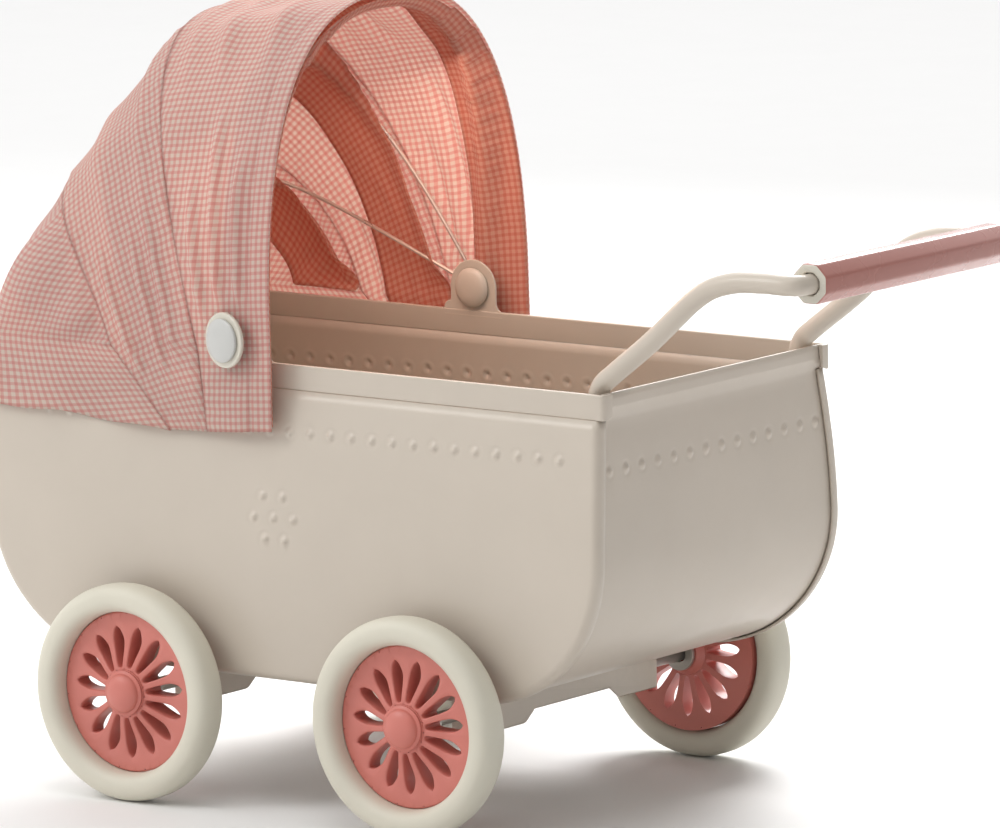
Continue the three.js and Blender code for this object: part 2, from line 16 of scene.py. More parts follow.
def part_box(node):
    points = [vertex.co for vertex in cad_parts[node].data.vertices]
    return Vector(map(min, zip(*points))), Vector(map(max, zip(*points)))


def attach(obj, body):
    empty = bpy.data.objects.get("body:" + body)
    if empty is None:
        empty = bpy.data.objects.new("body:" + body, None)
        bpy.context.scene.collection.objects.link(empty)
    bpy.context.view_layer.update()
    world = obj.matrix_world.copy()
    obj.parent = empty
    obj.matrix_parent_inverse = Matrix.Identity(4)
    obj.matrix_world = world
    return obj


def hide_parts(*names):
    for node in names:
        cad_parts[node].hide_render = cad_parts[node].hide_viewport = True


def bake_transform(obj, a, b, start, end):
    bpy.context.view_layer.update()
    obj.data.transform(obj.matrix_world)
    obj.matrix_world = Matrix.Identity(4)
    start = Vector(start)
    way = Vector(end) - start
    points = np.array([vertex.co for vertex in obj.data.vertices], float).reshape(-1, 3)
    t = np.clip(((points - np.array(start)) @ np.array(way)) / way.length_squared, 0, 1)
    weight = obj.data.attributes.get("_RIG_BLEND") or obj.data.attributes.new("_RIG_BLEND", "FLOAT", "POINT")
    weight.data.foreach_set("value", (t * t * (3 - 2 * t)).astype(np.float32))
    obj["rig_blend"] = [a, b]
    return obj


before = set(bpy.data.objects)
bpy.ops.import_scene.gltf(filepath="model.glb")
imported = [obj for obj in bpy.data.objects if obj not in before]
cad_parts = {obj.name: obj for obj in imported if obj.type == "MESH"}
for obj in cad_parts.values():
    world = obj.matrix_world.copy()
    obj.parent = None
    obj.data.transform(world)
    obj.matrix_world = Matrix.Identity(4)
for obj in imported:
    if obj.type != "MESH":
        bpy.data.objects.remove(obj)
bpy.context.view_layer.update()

MM = 0.001


# ------------------------------------------------- what the frame says
def mid_x_of(node):
    low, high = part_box(node)
    return (low.x + high.x) / 2


WHEELBASE_MID = (mid_x_of("axle_front") + mid_x_of("axle_rear")) / 2


def span(node, axis):
    """Lowest and highest place of a CAD node along x, y or z, in this script's millimetres."""
    index = "xyz".index(axis)
    shift = WHEELBASE_MID if axis == "x" else 0
    low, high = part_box(node)
    return (low[index] - shift) / MM, (high[index] - shift) / MM


def middle(node, axis):
    return sum(span(node, axis)) / 2


FLOOR_Z = span("tub_side_left", "z")[0]
RIM_Z = span("tub_strip", "z")[1]
WIDEST_Y = span("tub_side_left", "y")[1]
END_MAX_X = span("tub_side_left", "x")[1]
STRIP_TOP_X = 85.0
AXLE_X = middle("axle_rear", "x")
AXLE_Z = middle("axle_rear", "z")
WHEEL_Y = middle("tyre_rear_left", "y")
TYRE_RADIUS = span("tyre_rear_left", "z")[1] - AXLE_Z
TYRE_HALF_WIDTH = span("tyre_rear_left", "y")[1] - WHEEL_Y
DISC_RADIUS = span("wheel_rear_left", "z")[1] - AXLE_Z
AXLE_RADIUS = span("axle_rear", "z")[1] - AXLE_Z
AXLE_TIP_Y = span("axle_rear", "y")[1]
BAR_X = middle("handle_grip", "x")
BAR_Z = middle("handle_grip", "z")
GRIP_HALF_LENGTH = span("handle_grip", "y")[1]
PIVOT_X = middle("hood_rivet_left", "x")
PIVOT_Z = middle("hood_rivet_left", "z")
RIVET_TIP_Y = span("hood_rivet_left", "y")[1]
RIVET_HEAD_RADIUS = span("hood_rivet_left", "z")[1] - PIVOT_Z
RING_RADIUS = span("button_ring_left", "z")[1] - PIVOT_Z
CAP_RADIUS = span("button_cap_left", "z")[1] - PIVOT_Z
BUTTON_TILT = 12.0
BUTTON_Y = (span("button_ring_left", "y")[0]
            + RING_RADIUS * math.sin(math.radians(BUTTON_TILT)))
MOUTH_Z = span("hood_cloth_mouth", "z")[1]
HOOD_BACK_X = span("hood_cloth_back", "x")[0]
HOOD_HALF_WIDTH = span("hood_cloth_mouth", "y")[1]

SIDES = ((1, "left"), (-1, "right"))

# Tub
SHEET = 0.6
RIM_HALF_WIDTH = 43.9
WALL_HALF_WIDTH = 43.3
BELLY = WIDEST_Y - WALL_HALF_WIDTH
BELLY_Z = 57
BELLY_TUCK = 0.9
END_SWELL = 2.0
END_X = END_MAX_X - END_SWELL
END_SWELL_Z = 64
CORNER_X = 36
FOLD_RADIUS = 1.8
FLANGE = 3.2
HEM_LOW_Z = RIM_Z - 5.7
HEM_THICK = 1.2
EAR_Y = RIM_HALF_WIDTH - HEM_THICK
EAR_RADIUS = 6.5
STRIP_INSET = 0.9
DOT_ROW_Z = 86.6
END_DOT_ROW_Z = 84.2
DOT_RADIUS = 1.15
DOT_HEIGHT = 0.55
DOT_MARGIN = 2.2  # above and below a dot's middle, where the mesh is fine
SIDE_DOTS = 27
SIDE_DOT_PITCH = 5.77
END_DOTS = 14
END_DOT_PITCH = 6.13
FLOWER = (-3.6, 67.0)
FLOWER_PITCH = 5.6
FLOWER_ROW = 4.85


# ------------------------------------------------------------- mesh tools
def place(points):
    return np.asarray(points, float) * MM + (WHEELBASE_MID, 0, 0)


def grid_faces(rows, columns, close_columns=False):
    """Quads over a grid of points numbered row by row. Closed columns join each row's ends."""
    faces = []
    for i in range(rows - 1):
        for j in range(columns if close_columns else columns - 1):
            here, below, ahead = i * columns, (i + 1) * columns, (j + 1) % columns
            faces.append((here + j, here + ahead, below + ahead, below + j))
    return faces


def join(points, faces, more_points, more_faces):
    """Adds a second mesh to the lists of points and faces of a first one."""
    start = len(points)
    points.extend(more_points)
    faces.extend(tuple(start + i for i in face) for face in more_faces)


def add_piece(name, points, faces, finish, sharp=35):
    """A smooth-shaded mesh object, for the parts and for the floor, which isn't part of the object."""
    mesh = bpy.data.meshes.new(name)
    mesh.from_pydata(place(points).tolist(), [], faces)
    mesh.update()
    mesh.shade_smooth()
    if sharp:
        mesh.set_sharp_from_angle(angle=math.radians(sharp))
    mesh.materials.append(finish)
    piece = bpy.data.objects.new(name, mesh)
    bpy.context.scene.collection.objects.link(piece)
    return piece


def tidy_mesh(piece, merge=0.004, sharp=35):
    """Merges touching points, turns the faces outward and marks the sharp edges again."""
    work = bmesh.new()
    work.from_mesh(piece.data)
    bmesh.ops.remove_doubles(work, verts=work.verts, dist=merge * MM)
    bmesh.ops.recalc_face_normals(work, faces=work.faces)
    work.to_mesh(piece.data)
    work.free()
    piece.data.shade_smooth()
    piece.data.set_sharp_from_angle(angle=math.radians(sharp))
    return piece


def face_outward(piece, direction):
    """Turns all of an open sheet's faces to one side, so that most look along direction."""
    work = bmesh.new()
    work.from_mesh(piece.data)
    bmesh.ops.recalc_face_normals(work, faces=work.faces)
    look = sum((face.normal * face.calc_area() for face in work.faces), Vector())
    if look.dot(Vector(direction)) < 0:
        bmesh.ops.reverse_faces(work, faces=work.faces)
    work.to_mesh(piece.data)
    work.free()
    piece.data.shade_smooth()


def thicken(piece, thickness, offset=-1.0, even=True):
    """Gives a sheet its thickness. Cloth that folds takes even=False, so sharp creases don't spike."""
    solid = piece.modifiers.new("thickness", "SOLIDIFY")
    solid.thickness = thickness * MM
    solid.offset = offset
    solid.use_even_offset = even


def soften_edges(piece, width):
    bevel = piece.modifiers.new("soft edges", "BEVEL")
    bevel.width = width * MM
    bevel.segments = 3
    bevel.angle_limit = math.radians(30)
    bevel.harden_normals = False


def rounded(points, radius, steps=4, closed=False):
    """A polyline with each corner cut by a curve that starts and ends where such an arc would."""
    points = [np.asarray(p, float) for p in points]
    count = len(points)
    out = []
    for i, corner in enumerate(points):
        if not closed and i in (0, count - 1):
            out.append(corner)
            continue
        to_last = points[i - 1] - corner
        to_next = points[(i + 1) % count] - corner
        len_last, len_next = np.linalg.norm(to_last), np.linalg.norm(to_next)
        to_last, to_next = to_last / len_last, to_next / len_next
        half_angle = math.acos(np.clip(to_last @ to_next, -1, 1)) / 2
        if half_angle > math.radians(88) or half_angle < 0.01:
            out.append(corner)
            continue
        reach = min(radius / math.tan(half_angle), len_last * 0.49, len_next * 0.49)
        start, end = corner + to_last * reach, corner + to_next * reach
        for k in range(steps + 1):
            t = k / steps
            out.append((1 - t) ** 2 * start + 2 * t * (1 - t) * corner + t**2 * end)
    return out


def lathe(profile, segments=48, side=1, at=(0, 0, 0), lean=0.0):
    """Points and faces of a profile of (radius, y) pairs turned about the y axis.

    lean tips the result about z by that many degrees, to -x on either side.
    """
    tip = side * math.radians(lean)
    points = []
    for radius, along in profile:
        for k in range(segments):
            turn = 2 * math.pi * k / segments
            x, y = radius * math.cos(turn), side * along
            points.append((
                at[0] + x * math.cos(tip) - y * math.sin(tip),
                at[1] + x * math.sin(tip) + y * math.cos(tip),
                at[2] + radius * math.sin(turn),
            ))
    return points, grid_faces(len(profile), segments, close_columns=True)


def turned_piece(name, profile, finish, side=1, at=(0, 0, 0), segments=48, lean=0.0):
    points, faces = lathe(profile, segments, side, at, lean)
    return tidy_mesh(add_piece(name, points, faces, finish), sharp=40)


def directions(path):
    """Unit vectors along a path, one at each of its points."""
    along = np.gradient(path, axis=0)
    return along / np.linalg.norm(along, axis=1)[:, None]


def smooth_path(points, steps=8):
    """Catmull-Rom curve through the points."""
    p = np.asarray(points, float)
    p = np.vstack([2 * p[0] - p[1], p, 2 * p[-1] - p[-2]])
    out = []
    for i in range(1, len(p) - 2):
        for k in range(steps):
            t = k / steps
            out.append(0.5 * (
                2 * p[i] + (p[i + 1] - p[i - 1]) * t
                + (2 * p[i - 1] - 5 * p[i] + 4 * p[i + 1] - p[i + 2]) * t**2
                + (3 * p[i] - p[i - 1] - 3 * p[i + 1] + p[i + 2]) * t**3
            ))
    out.append(p[-2])
    return np.array(out)


def tube(path, radius, sides=16):
    """Points and faces of a round tube along a path, with flat ends."""
    path = np.asarray(path, float)
    along = directions(path)
    normal = np.cross(along[0], (0.3, 0.2, 1.0))
    points = []
    for here, ahead in zip(path, along):
        normal = normal - (normal @ ahead) * ahead
        normal /= np.linalg.norm(normal)
        across = np.cross(ahead, normal)
        for k in range(sides):
            turn = 2 * math.pi * k / sides
            points.append(here + radius * (math.cos(turn) * normal + math.sin(turn) * across))
    faces = grid_faces(len(path), sides, close_columns=True)
    faces.append(tuple(range(sides))[::-1])
    faces.append(tuple(range(len(points) - sides, len(points))))
    return points, faces


def flipped(points, faces):
    """The mirror image across the middle plane."""
    return [(x, -y, z) for x, y, z in points], [tuple(reversed(face)) for face in faces]


def smoothstep(value, low=0.0, high=1.0):
    t = np.clip((np.asarray(value, float) - low) / (high - low), 0, 1)
    return t * t * (3 - 2 * t)


# -------------------------------------------------------------- materials
class Nodes:
    """Short calls for the nodes of one material."""

    def __init__(self, name):
        self.material = bpy.data.materials.new(name)
        self.material.use_nodes = True
        self.tree = self.material.node_tree
        self.shader = self.tree.nodes["Principled BSDF"]

    def link(self, source, target):
        self.tree.links.new(source, target)

    def add(self, kind, **values):
        node = self.tree.nodes.new(kind)
        for key, value in values.items():
            if key in node.inputs:
                node.inputs[key].default_value = value
            else:
                setattr(node, key, value)
        return node

    def math(self, operation, first, second=None):
        node = self.add("ShaderNodeMath", operation=operation)
        for socket, value in zip(node.inputs, (first, second)):
            if isinstance(value, (int, float)):
                socket.default_value = value
            elif value is not None:
                self.link(value, socket)
        return node.outputs[0]

    def noise(self, scale, detail=2.0, roughness=0.5):
        if not hasattr(self, "coordinates"):
            self.coordinates = self.add("ShaderNodeTexCoord").outputs["Object"]
        node = self.add("ShaderNodeTexNoise", Scale=scale, Detail=detail, Roughness=roughness)
        self.link(self.coordinates, node.inputs["Vector"])
        return node.outputs["Fac"]

    def ramp(self, value, *stops):
        node = self.add("ShaderNodeValToRGB")
        elements = node.color_ramp.elements
        while len(elements) < len(stops):
            elements.new(0.5)
        for element, (position, color) in zip(elements, stops):
            element.position = position
            element.color = (*color, 1)
        self.link(value, node.inputs[0])
        return node.outputs["Color"]

    def spread(self, value, low, high):
        node = self.add("ShaderNodeMapRange")
        node.inputs["From Min"].default_value = 0.3
        node.inputs["From Max"].default_value = 0.7
        node.inputs["To Min"].default_value = low
        node.inputs["To Max"].default_value = high
        self.link(value, node.inputs["Value"])
        return node.outputs["Result"]

    def mix(self, share, first, second):
        node = self.add("ShaderNodeMix", data_type="RGBA")
        for socket, value in ((0, share), (6, first), (7, second)):
            if hasattr(value, "is_linked"):
                self.link(value, node.inputs[socket])
            else:
                node.inputs[socket].default_value = value if socket == 0 else (*value, 1)
        return node.outputs[2]

    def bump(self, height, strength, distance):
        node = self.add("ShaderNodeBump", Strength=strength, Distance=distance * MM)
        self.link(height, node.inputs["Height"])
        self.link(node.outputs["Normal"], self.shader.inputs["Normal"])


def tone(color, factor):
    return tuple(min(1.0, channel * factor) for channel in color)


def plain_finish(name, color, roughness, grain=900, grain_depth=0.02, metallic=0.0,
                 coat=0.0, variation=0.04, edge_highlight=0.0):
    """Paint, plastic, rubber or metal: mottled colour and gloss with a fine surface grain, and a painted
    highlight along convex edges when asked for.
    """
    nodes = Nodes(name)
    shader = nodes.shader
    blotches = nodes.noise(35, 4)
    fine = nodes.noise(grain, 3, 0.6)
    base = nodes.ramp(blotches, (0.3, tone(color, 1 - variation)), (0.7, tone(color, 1 + variation)))
    # Painted highlight: convex edges, found by Pointiness, are lightened in patches toward a brighter tone
    # of the colour.
    if edge_highlight:
        edges = nodes.add("ShaderNodeNewGeometry").outputs["Pointiness"]
        highlight_share = nodes.math("MULTIPLY", nodes.math("SUBTRACT", edges, 0.52), 9.0)
        highlight_share = nodes.math("MULTIPLY", nodes.math("MAXIMUM", highlight_share, 0.0), edge_highlight)
        highlight_share = nodes.math("MINIMUM", nodes.math("MULTIPLY", highlight_share, nodes.noise(420, 2)), 0.6)
        base = nodes.mix(highlight_share, base, tone(color, 1.35))
    nodes.link(base, shader.inputs["Base Color"])
    nodes.link(nodes.spread(nodes.noise(90, 3), roughness - 0.05, roughness + 0.06),
               shader.inputs["Roughness"])
    shader.inputs["Metallic"].default_value = metallic
    shader.inputs["Coat Weight"].default_value = coat
    shader.inputs["Coat Roughness"].default_value = 0.12
    nodes.bump(fine, 0.5, grain_depth)
    return nodes.material


CHECK_PITCH = 1.62
YARN_PITCH = 0.27


def gingham(name, dark, middle, light, stitch, through=0.35):
    """Woven check drawn on the cloth's own map in millimetres, partly letting light through."""
    nodes = Nodes(name)
    shader = nodes.shader
    uv = nodes.add("ShaderNodeSeparateXYZ")
    nodes.link(nodes.add("ShaderNodeTexCoord").outputs["UV"], uv.inputs[0])
    slow = nodes.math("MULTIPLY", nodes.math("SUBTRACT", nodes.noise(160, 2), 0.5), 0.3)
    bands, yarns = [], []
    for axis in (0, 1):
        along = nodes.math("ADD", uv.outputs[axis], slow)
        wave = nodes.math("SINE", nodes.math("MULTIPLY", along, 2 * math.pi / CHECK_PITCH))
        band = nodes.add("ShaderNodeMapRange", interpolation_type="SMOOTHSTEP")
        band.inputs["From Min"].default_value = -0.2
        band.inputs["From Max"].default_value = 0.5
        nodes.link(wave, band.inputs["Value"])
        bands.append(band.outputs["Result"])
        yarns.append(nodes.math("SINE", nodes.math("MULTIPLY", along, 2 * math.pi / YARN_PITCH)))
    share = nodes.math("MULTIPLY", nodes.math("ADD", bands[0], bands[1]), 0.5)
    weave = nodes.math("MULTIPLY", yarns[0], yarns[1])
    share = nodes.math("ADD", share, nodes.math("MULTIPLY", weave, 0.07))
    share = nodes.math("ADD", share, nodes.math("MULTIPLY",
                       nodes.math("SUBTRACT", nodes.noise(700, 2), 0.5), 0.35))
    color = nodes.ramp(share, (0.05, light), (0.5, middle), (0.95, dark))
    mark = nodes.add("ShaderNodeAttribute", attribute_name="stitch")
    color = nodes.mix(mark.outputs["Fac"], color, stitch)
    nodes.link(color, shader.inputs["Base Color"])
    shader.inputs["Roughness"].default_value = 0.85
    shader.inputs["Sheen Weight"].default_value = 0.25
    shader.inputs["Sheen Roughness"].default_value = 0.5
    shader.inputs["Specular IOR Level"].default_value = 0.25
    height = nodes.math("ADD", nodes.math("MULTIPLY", weave, 0.5), nodes.math("MULTIPLY", share, 0.4))
    nodes.bump(height, 0.5, 0.12)
    translucent = nodes.add("ShaderNodeBsdfTranslucent")
    nodes.link(color, translucent.inputs["Color"])
    blend = nodes.add("ShaderNodeMixShader")
    blend.inputs[0].default_value = through
    nodes.link(shader.outputs[0], blend.inputs[1])
    nodes.link(translucent.outputs[0], blend.inputs[2])
    nodes.link(blend.outputs[0], nodes.tree.nodes["Material Output"].inputs["Surface"])
    return nodes.material


# The cream enamel carries the painted highlight along its convex edges.
PAINT = plain_finish("cream enamel", (0.555, 0.492, 0.418), 0.40, 1400, 0.012, 0.0, 0.15,
                     0.025, edge_highlight=0.5)
STEEL = plain_finish("drawn steel", (0.42, 0.40, 0.36), 0.35, 1600, 0.01, 0.85)
WIRE = plain_finish("bright wire", (0.74, 0.68, 0.62), 0.32, 1600, 0.01, 0.75)
RUBBER = plain_finish("ivory rubber", (0.66, 0.63, 0.53), 0.55, 1100, 0.02, variation=0.04)
PINK = plain_finish("dusty pink plastic", (0.60, 0.185, 0.15), 0.38, 1200, 0.012, variation=0.05)
CREAM = plain_finish("cream plastic", (0.62, 0.585, 0.50), 0.30, 1200, 0.01, coat=0.2)
MAUVE = plain_finish("mauve lacquer", (0.42, 0.165, 0.135), 0.26, 1000, 0.006, coat=0.3,
                     variation=0.03)
PEARL = plain_finish("pearl grey plastic", (0.52, 0.52, 0.50), 0.32, 1200, 0.008, coat=0.15,
                     variation=0.02)
COTTON = gingham("pink check cotton", (0.79, 0.42, 0.375), (0.83, 0.56, 0.50),
                 (0.87, 0.78, 0.70), (0.46, 0.14, 0.11), through=0.5)
# Painted shade: the same check cotton drawn darker and redder, standing for the shade of light passing
# through two layers in the casings and the mouth facing.
SHADED_DOUBLE_COTTON = gingham("double check cotton", (0.77, 0.33, 0.25), (0.82, 0.43, 0.33),
                 (0.88, 0.60, 0.48), (0.58, 0.19, 0.14), through=0.55)


# -------------------------------------------------------- shape of the tub
def quarter_cosine(share):
    return np.cos(math.pi / 2 * np.asarray(share, float))


def half_width(z):
    """Half the tub's width at a height, to the outer face."""
    z = np.asarray(z, float)
    above = WALL_HALF_WIDTH + BELLY * quarter_cosine((z - BELLY_Z) / (RIM_Z - BELLY_Z))
    below = WIDEST_Y - BELLY_TUCK * ((BELLY_Z - z) / (BELLY_Z - FLOOR_Z)) ** 2
    return np.where(z < BELLY_Z, below, above)


def side_outline(share, inset):
    """Half length and height on the tub's side view, set inward.

    share runs from 1 at the rim to 0 where the round corner starts, then on to -1 at the floor.
    """
    share = np.asarray(share, float)
    z_up = END_SWELL_Z + (RIM_Z - END_SWELL_Z) * share
    x_up = END_X + END_SWELL * quarter_cosine(share) - inset
    turn = math.pi / 2 * -share
    x_down = END_MAX_X - CORNER_X + (CORNER_X - inset) * np.cos(turn)
    z_down = END_SWELL_Z - (END_SWELL_Z - FLOOR_Z - inset) * np.sin(turn)
    return np.where(share > 0, x_up, x_down), np.where(share > 0, z_up, z_down)


def spaced(low, high, size):
    """Even steps of about that size from low to just before high."""
    return list(np.linspace(low, high, max(2, round(abs(high - low) / size) + 1)))[:-1]


def dot_height(du, dv):
    """A pressed dot: a dome with a shallow moat round it."""
    r = np.hypot(du, dv)
    dome = DOT_HEIGHT * (1 - smoothstep(r, 0.15, DOT_RADIUS))
    moat = 0.10 * np.exp(-(((r - 1.55) / 0.35) ** 2))
    return dome - moat


def row_of_dots(along, across, count, pitch):
    """Height of a row of pressed dots centred on along = 0."""
    nearest = np.clip(np.round(along / pitch + (count - 1) / 2), 0, count - 1)
    return dot_height(along - (nearest - (count - 1) / 2) * pitch, across)


def flower(x, z):
    height = np.zeros_like(x)
    for row, count in ((-1, 2), (0, 3), (1, 2)):
        dx = x - FLOWER[0] + row * 0.4
        height = height + row_of_dots(dx, z - FLOWER[1] - row * FLOWER_ROW, count, FLOWER_PITCH)
    return height


def height_share(z):
    return (z - END_SWELL_Z) / (RIM_Z - END_SWELL_Z)


def side_rows():
    """Row positions down the side wall, close together where dots are pressed."""
    dots_top, dots_low = DOT_ROW_Z + DOT_MARGIN, DOT_ROW_Z - DOT_MARGIN
    flower_top = FLOWER[1] + FLOWER_ROW + DOT_MARGIN
    flower_low = FLOWER[1] - FLOWER_ROW - DOT_MARGIN
    levels = spaced(HEM_LOW_Z, dots_top, 2.5) + spaced(dots_top, dots_low, 0.33)
    levels += spaced(dots_low, flower_top, 2.5) + spaced(flower_top, END_SWELL_Z, 0.36)
    shares = [height_share(z) for z in levels]
    sine = (END_SWELL_Z - flower_low) / (END_SWELL_Z - FLOOR_Z)
    flower_end = -math.asin(sine) / (math.pi / 2)
    shares += spaced(0, flower_end, 0.007) + spaced(flower_end, -1, 0.045) + [-1.0]
    return np.array(shares)


def build_side(side, word):
    """One pressed side wall with its dots and the flange folded round its edge."""
    shares = side_rows()
    across = np.linspace(-1, 1, 431)
    folds = [(0, FLANGE), (0, 2.4)]
    for angle in np.linspace(0, math.pi / 2, 6)[:-1]:
        folds.append((FOLD_RADIUS * (1 - math.cos(angle)), FOLD_RADIUS * (1 - math.sin(angle))))
    half, z = side_outline(shares, FOLD_RADIUS)
    x = across[None, :] * half[:, None]
    even = END_SWELL_Z - (END_SWELL_Z - FLOOR_Z - FOLD_RADIUS) * -np.minimum(shares, 0)
    even = np.where(shares > 0, z, even)[:, None]
    z = even + (z[:, None] - even) * smoothstep(np.abs(across), 0.55, 1.0)[None, :]
    y = half_width(z) + row_of_dots(x, z - DOT_ROW_Z, SIDE_DOTS, SIDE_DOT_PITCH) + flower(x, z)
    y -= 0.05 * (1 - smoothstep(HEM_LOW_Z - z, 0, 1.0))
    inner = np.stack([x, y, z], axis=-1).reshape(-1, 3)
    rows, columns = len(shares), len(across)
    edge = [i * columns for i in range(rows)]
    edge += [(rows - 1) * columns + j for j in range(1, columns)]
    edge += [i * columns + columns - 1 for i in range(rows - 2, -1, -1)]
    points = [tuple(p) for p in inner]
    faces = grid_faces(rows, columns)
    last = edge
    for inset, drop in reversed(folds):
        half_out, z_out = side_outline(shares, inset)
        ring = [(-h, level) for h, level in zip(half_out, z_out)]
        ring += [(a * half_out[-1], z_out[-1]) for a in across[1:]]
        ring += [(h, level) for h, level in zip(half_out[-2::-1], z_out[-2::-1])]
        start = len(points)
        points += [(px, float(half_width(pz)) - drop, pz) for px, pz in ring]
        here = list(range(start, start + len(ring)))
        faces += [(last[k], here[k], here[k + 1], last[k + 1]) for k in range(len(ring) - 1)]
        last = here
    if side < 0:
        points, faces = flipped(points, faces)
    piece = add_piece(f"side_wall_{word}", points, faces, PAINT, sharp=0)
    face_outward(piece, (0, side, 0))
    thicken(piece, SHEET)
    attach(piece, "tub")
    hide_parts(f"tub_side_{word}")


def build_hem(side, word):
    """The folded band along the rim, lapped round both corners onto the ends."""
    corner, thin, edge_rise = 2.0, 0.45, 0.45
    reach = RIM_HALF_WIDTH - FLANGE
    path = [(-END_MAX_X, reach), (-END_MAX_X, RIM_HALF_WIDTH), (END_MAX_X, RIM_HALF_WIDTH),
            (END_MAX_X, reach)]
    path = rounded(path, corner, steps=8)
    dense = [path[0]]
    for here, ahead in zip(path, path[1:]):
        pieces = max(1, round(np.linalg.norm(ahead - here) / 6))
        dense += [here + (ahead - here) * k / pieces for k in range(1, pieces + 1)]
    path = np.array(dense)
    along = directions(path)
    inward = np.stack([along[:, 1], -along[:, 0]], axis=1)
    section = [(0.0, HEM_LOW_Z), (0.0, RIM_Z), (HEM_THICK, RIM_Z), (thin, HEM_LOW_Z)]
    section = rounded(section, 0.3, steps=4, closed=True)
    points = []
    for place_on, direction in zip(path, inward):
        past_corner = max(0.0, RIM_HALF_WIDTH - corner - place_on[1])
        for depth, z in section:
            lift = edge_rise * past_corner * (RIM_Z - z) / (RIM_Z - HEM_LOW_Z)
            spot = place_on + direction * depth
            points.append((spot[0], spot[1], z + lift))
    count = len(section)
    faces = grid_faces(len(path), count, close_columns=True)
    faces += [tuple(range(count))[::-1], tuple(range(len(points) - count, len(points)))]
    if side < 0:
        points, faces = flipped(points, faces)
    piece = tidy_mesh(add_piece(f"rim_band_{word}", points, faces, PAINT), sharp=50)
    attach(piece, "tub")
    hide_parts(f"tub_side_{word}")


def build_ear(side, word):
    """The rounded tab that stands on the rim and carries the hood's rivet."""
    half = EAR_RADIUS
    fillet = 2
    low = RIM_Z - 1.5
    outline = [(PIVOT_X + half + fillet, low)]
    for k in range(5):
        turn = math.pi / 2 * k / 4
        outline.append((PIVOT_X + half + fillet * (1 - math.sin(turn)),
                        RIM_Z + fillet * (1 - math.cos(turn))))
    for k in range(25):
        turn = math.pi * k / 24
        outline.append((PIVOT_X + half * math.cos(turn), PIVOT_Z + half * math.sin(turn)))
    for k in range(5):
        turn = math.pi / 2 * k / 4
        outline.append((PIVOT_X - half - fillet * math.sin(turn), RIM_Z + fillet * math.cos(turn)))
    outline.append((PIVOT_X - half - fillet, low))
    count = len(outline)
    points = [(x, side * y, z) for y in (EAR_Y + 0.15, EAR_Y + 0.15 + SHEET) for x, z in outline]
    faces = grid_faces(2, count, close_columns=True)
    faces += [tuple(range(count)), tuple(range(2 * count - 1, count - 1, -1))]
    piece = tidy_mesh(add_piece(f"hood_ear_{word}", points, faces, PAINT), sharp=60)
    soften_edges(piece, 0.22)
    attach(piece, "tub")
    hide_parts(f"tub_side_{word}")


def build_strip():
    """The single strip that forms both end walls and the floor."""
    flared_z = 98.6
    dots_top, dots_low = END_DOT_ROW_Z + DOT_MARGIN, END_DOT_ROW_Z - DOT_MARGIN
    levels = spaced(HEM_LOW_Z - 1, dots_top, 2.0) + spaced(dots_top, dots_low, 0.33)
    levels += spaced(dots_low, END_SWELL_Z, 3.0)
    shares = np.array([height_share(z) for z in levels] + spaced(0, -1, 0.05) + [-1.0])
    half, z = side_outline(shares, STRIP_INSET)
    profile = [(STRIP_TOP_X, RIM_Z), (STRIP_TOP_X, 100.2), (STRIP_TOP_X, flared_z),
               (half[0] + 0.15, HEM_LOW_Z)]
    profile = rounded(profile, 1.2, steps=4) + [np.array(p) for p in zip(half, z)]
    floor_columns = spaced(half[-1], -half[-1], 4.0)[1:]
    profile += [np.array((x, z[-1])) for x in floor_columns]
    front = [np.array((-p[0], p[1])) for p in profile[: len(profile) - len(floor_columns)]][::-1]
    profile = np.array(profile + front)
    along = directions(profile)
    outward = np.stack([-along[:, 1], along[:, 0]], axis=1)
    across = np.linspace(-1, 1, 211)
    points = []
    for (x, level), (nx, nz) in zip(profile, outward):
        narrow = smoothstep(level, HEM_LOW_Z - 1.2, HEM_LOW_Z)
        width = (half_width(level) - STRIP_INSET) * (1 - narrow) + (EAR_Y - 0.3) * narrow
        y = across * width
        on_end = 1.0 if abs(level - END_DOT_ROW_Z) < 2.4 else 0.0
        lift = on_end * row_of_dots(y, level - END_DOT_ROW_Z, END_DOTS, END_DOT_PITCH)
        sign = 1 if nx * x > 0 or abs(nx) < 0.3 else -1
        for yy, up in zip(y, lift):
            points.append((x + sign * nx * up, yy, level + sign * nz * up))
    faces = grid_faces(len(profile), len(across))
    piece = add_piece("end_and_floor_strip", points, faces, PAINT, sharp=0)
    face_outward(piece, (0, 0, -1))
    thicken(piece, SHEET)
    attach(piece, "tub")
    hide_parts("tub_strip")


# ------------------------------------------------------- axles and wheels
SLOT_COUNT = 15
# One side of a slot, from the hub outward: distance from the axle and half the slot's width.
SLOT_HALF = ((5.8, 0), (6.2, 0.55), (8.5, 1.05), (11.5, 1.45), (13.2, 1.25), (14.5, 0.75), (15.2, 0))
HUB_RADIUS = 5.4
PLATE_BACK = -4.2


def plate_height(radius):
    """The disc's outer face: flat near the tyre and rising to the hub."""
    return 1.5 * (1 - smoothstep(radius, HUB_RADIUS, 12.5))


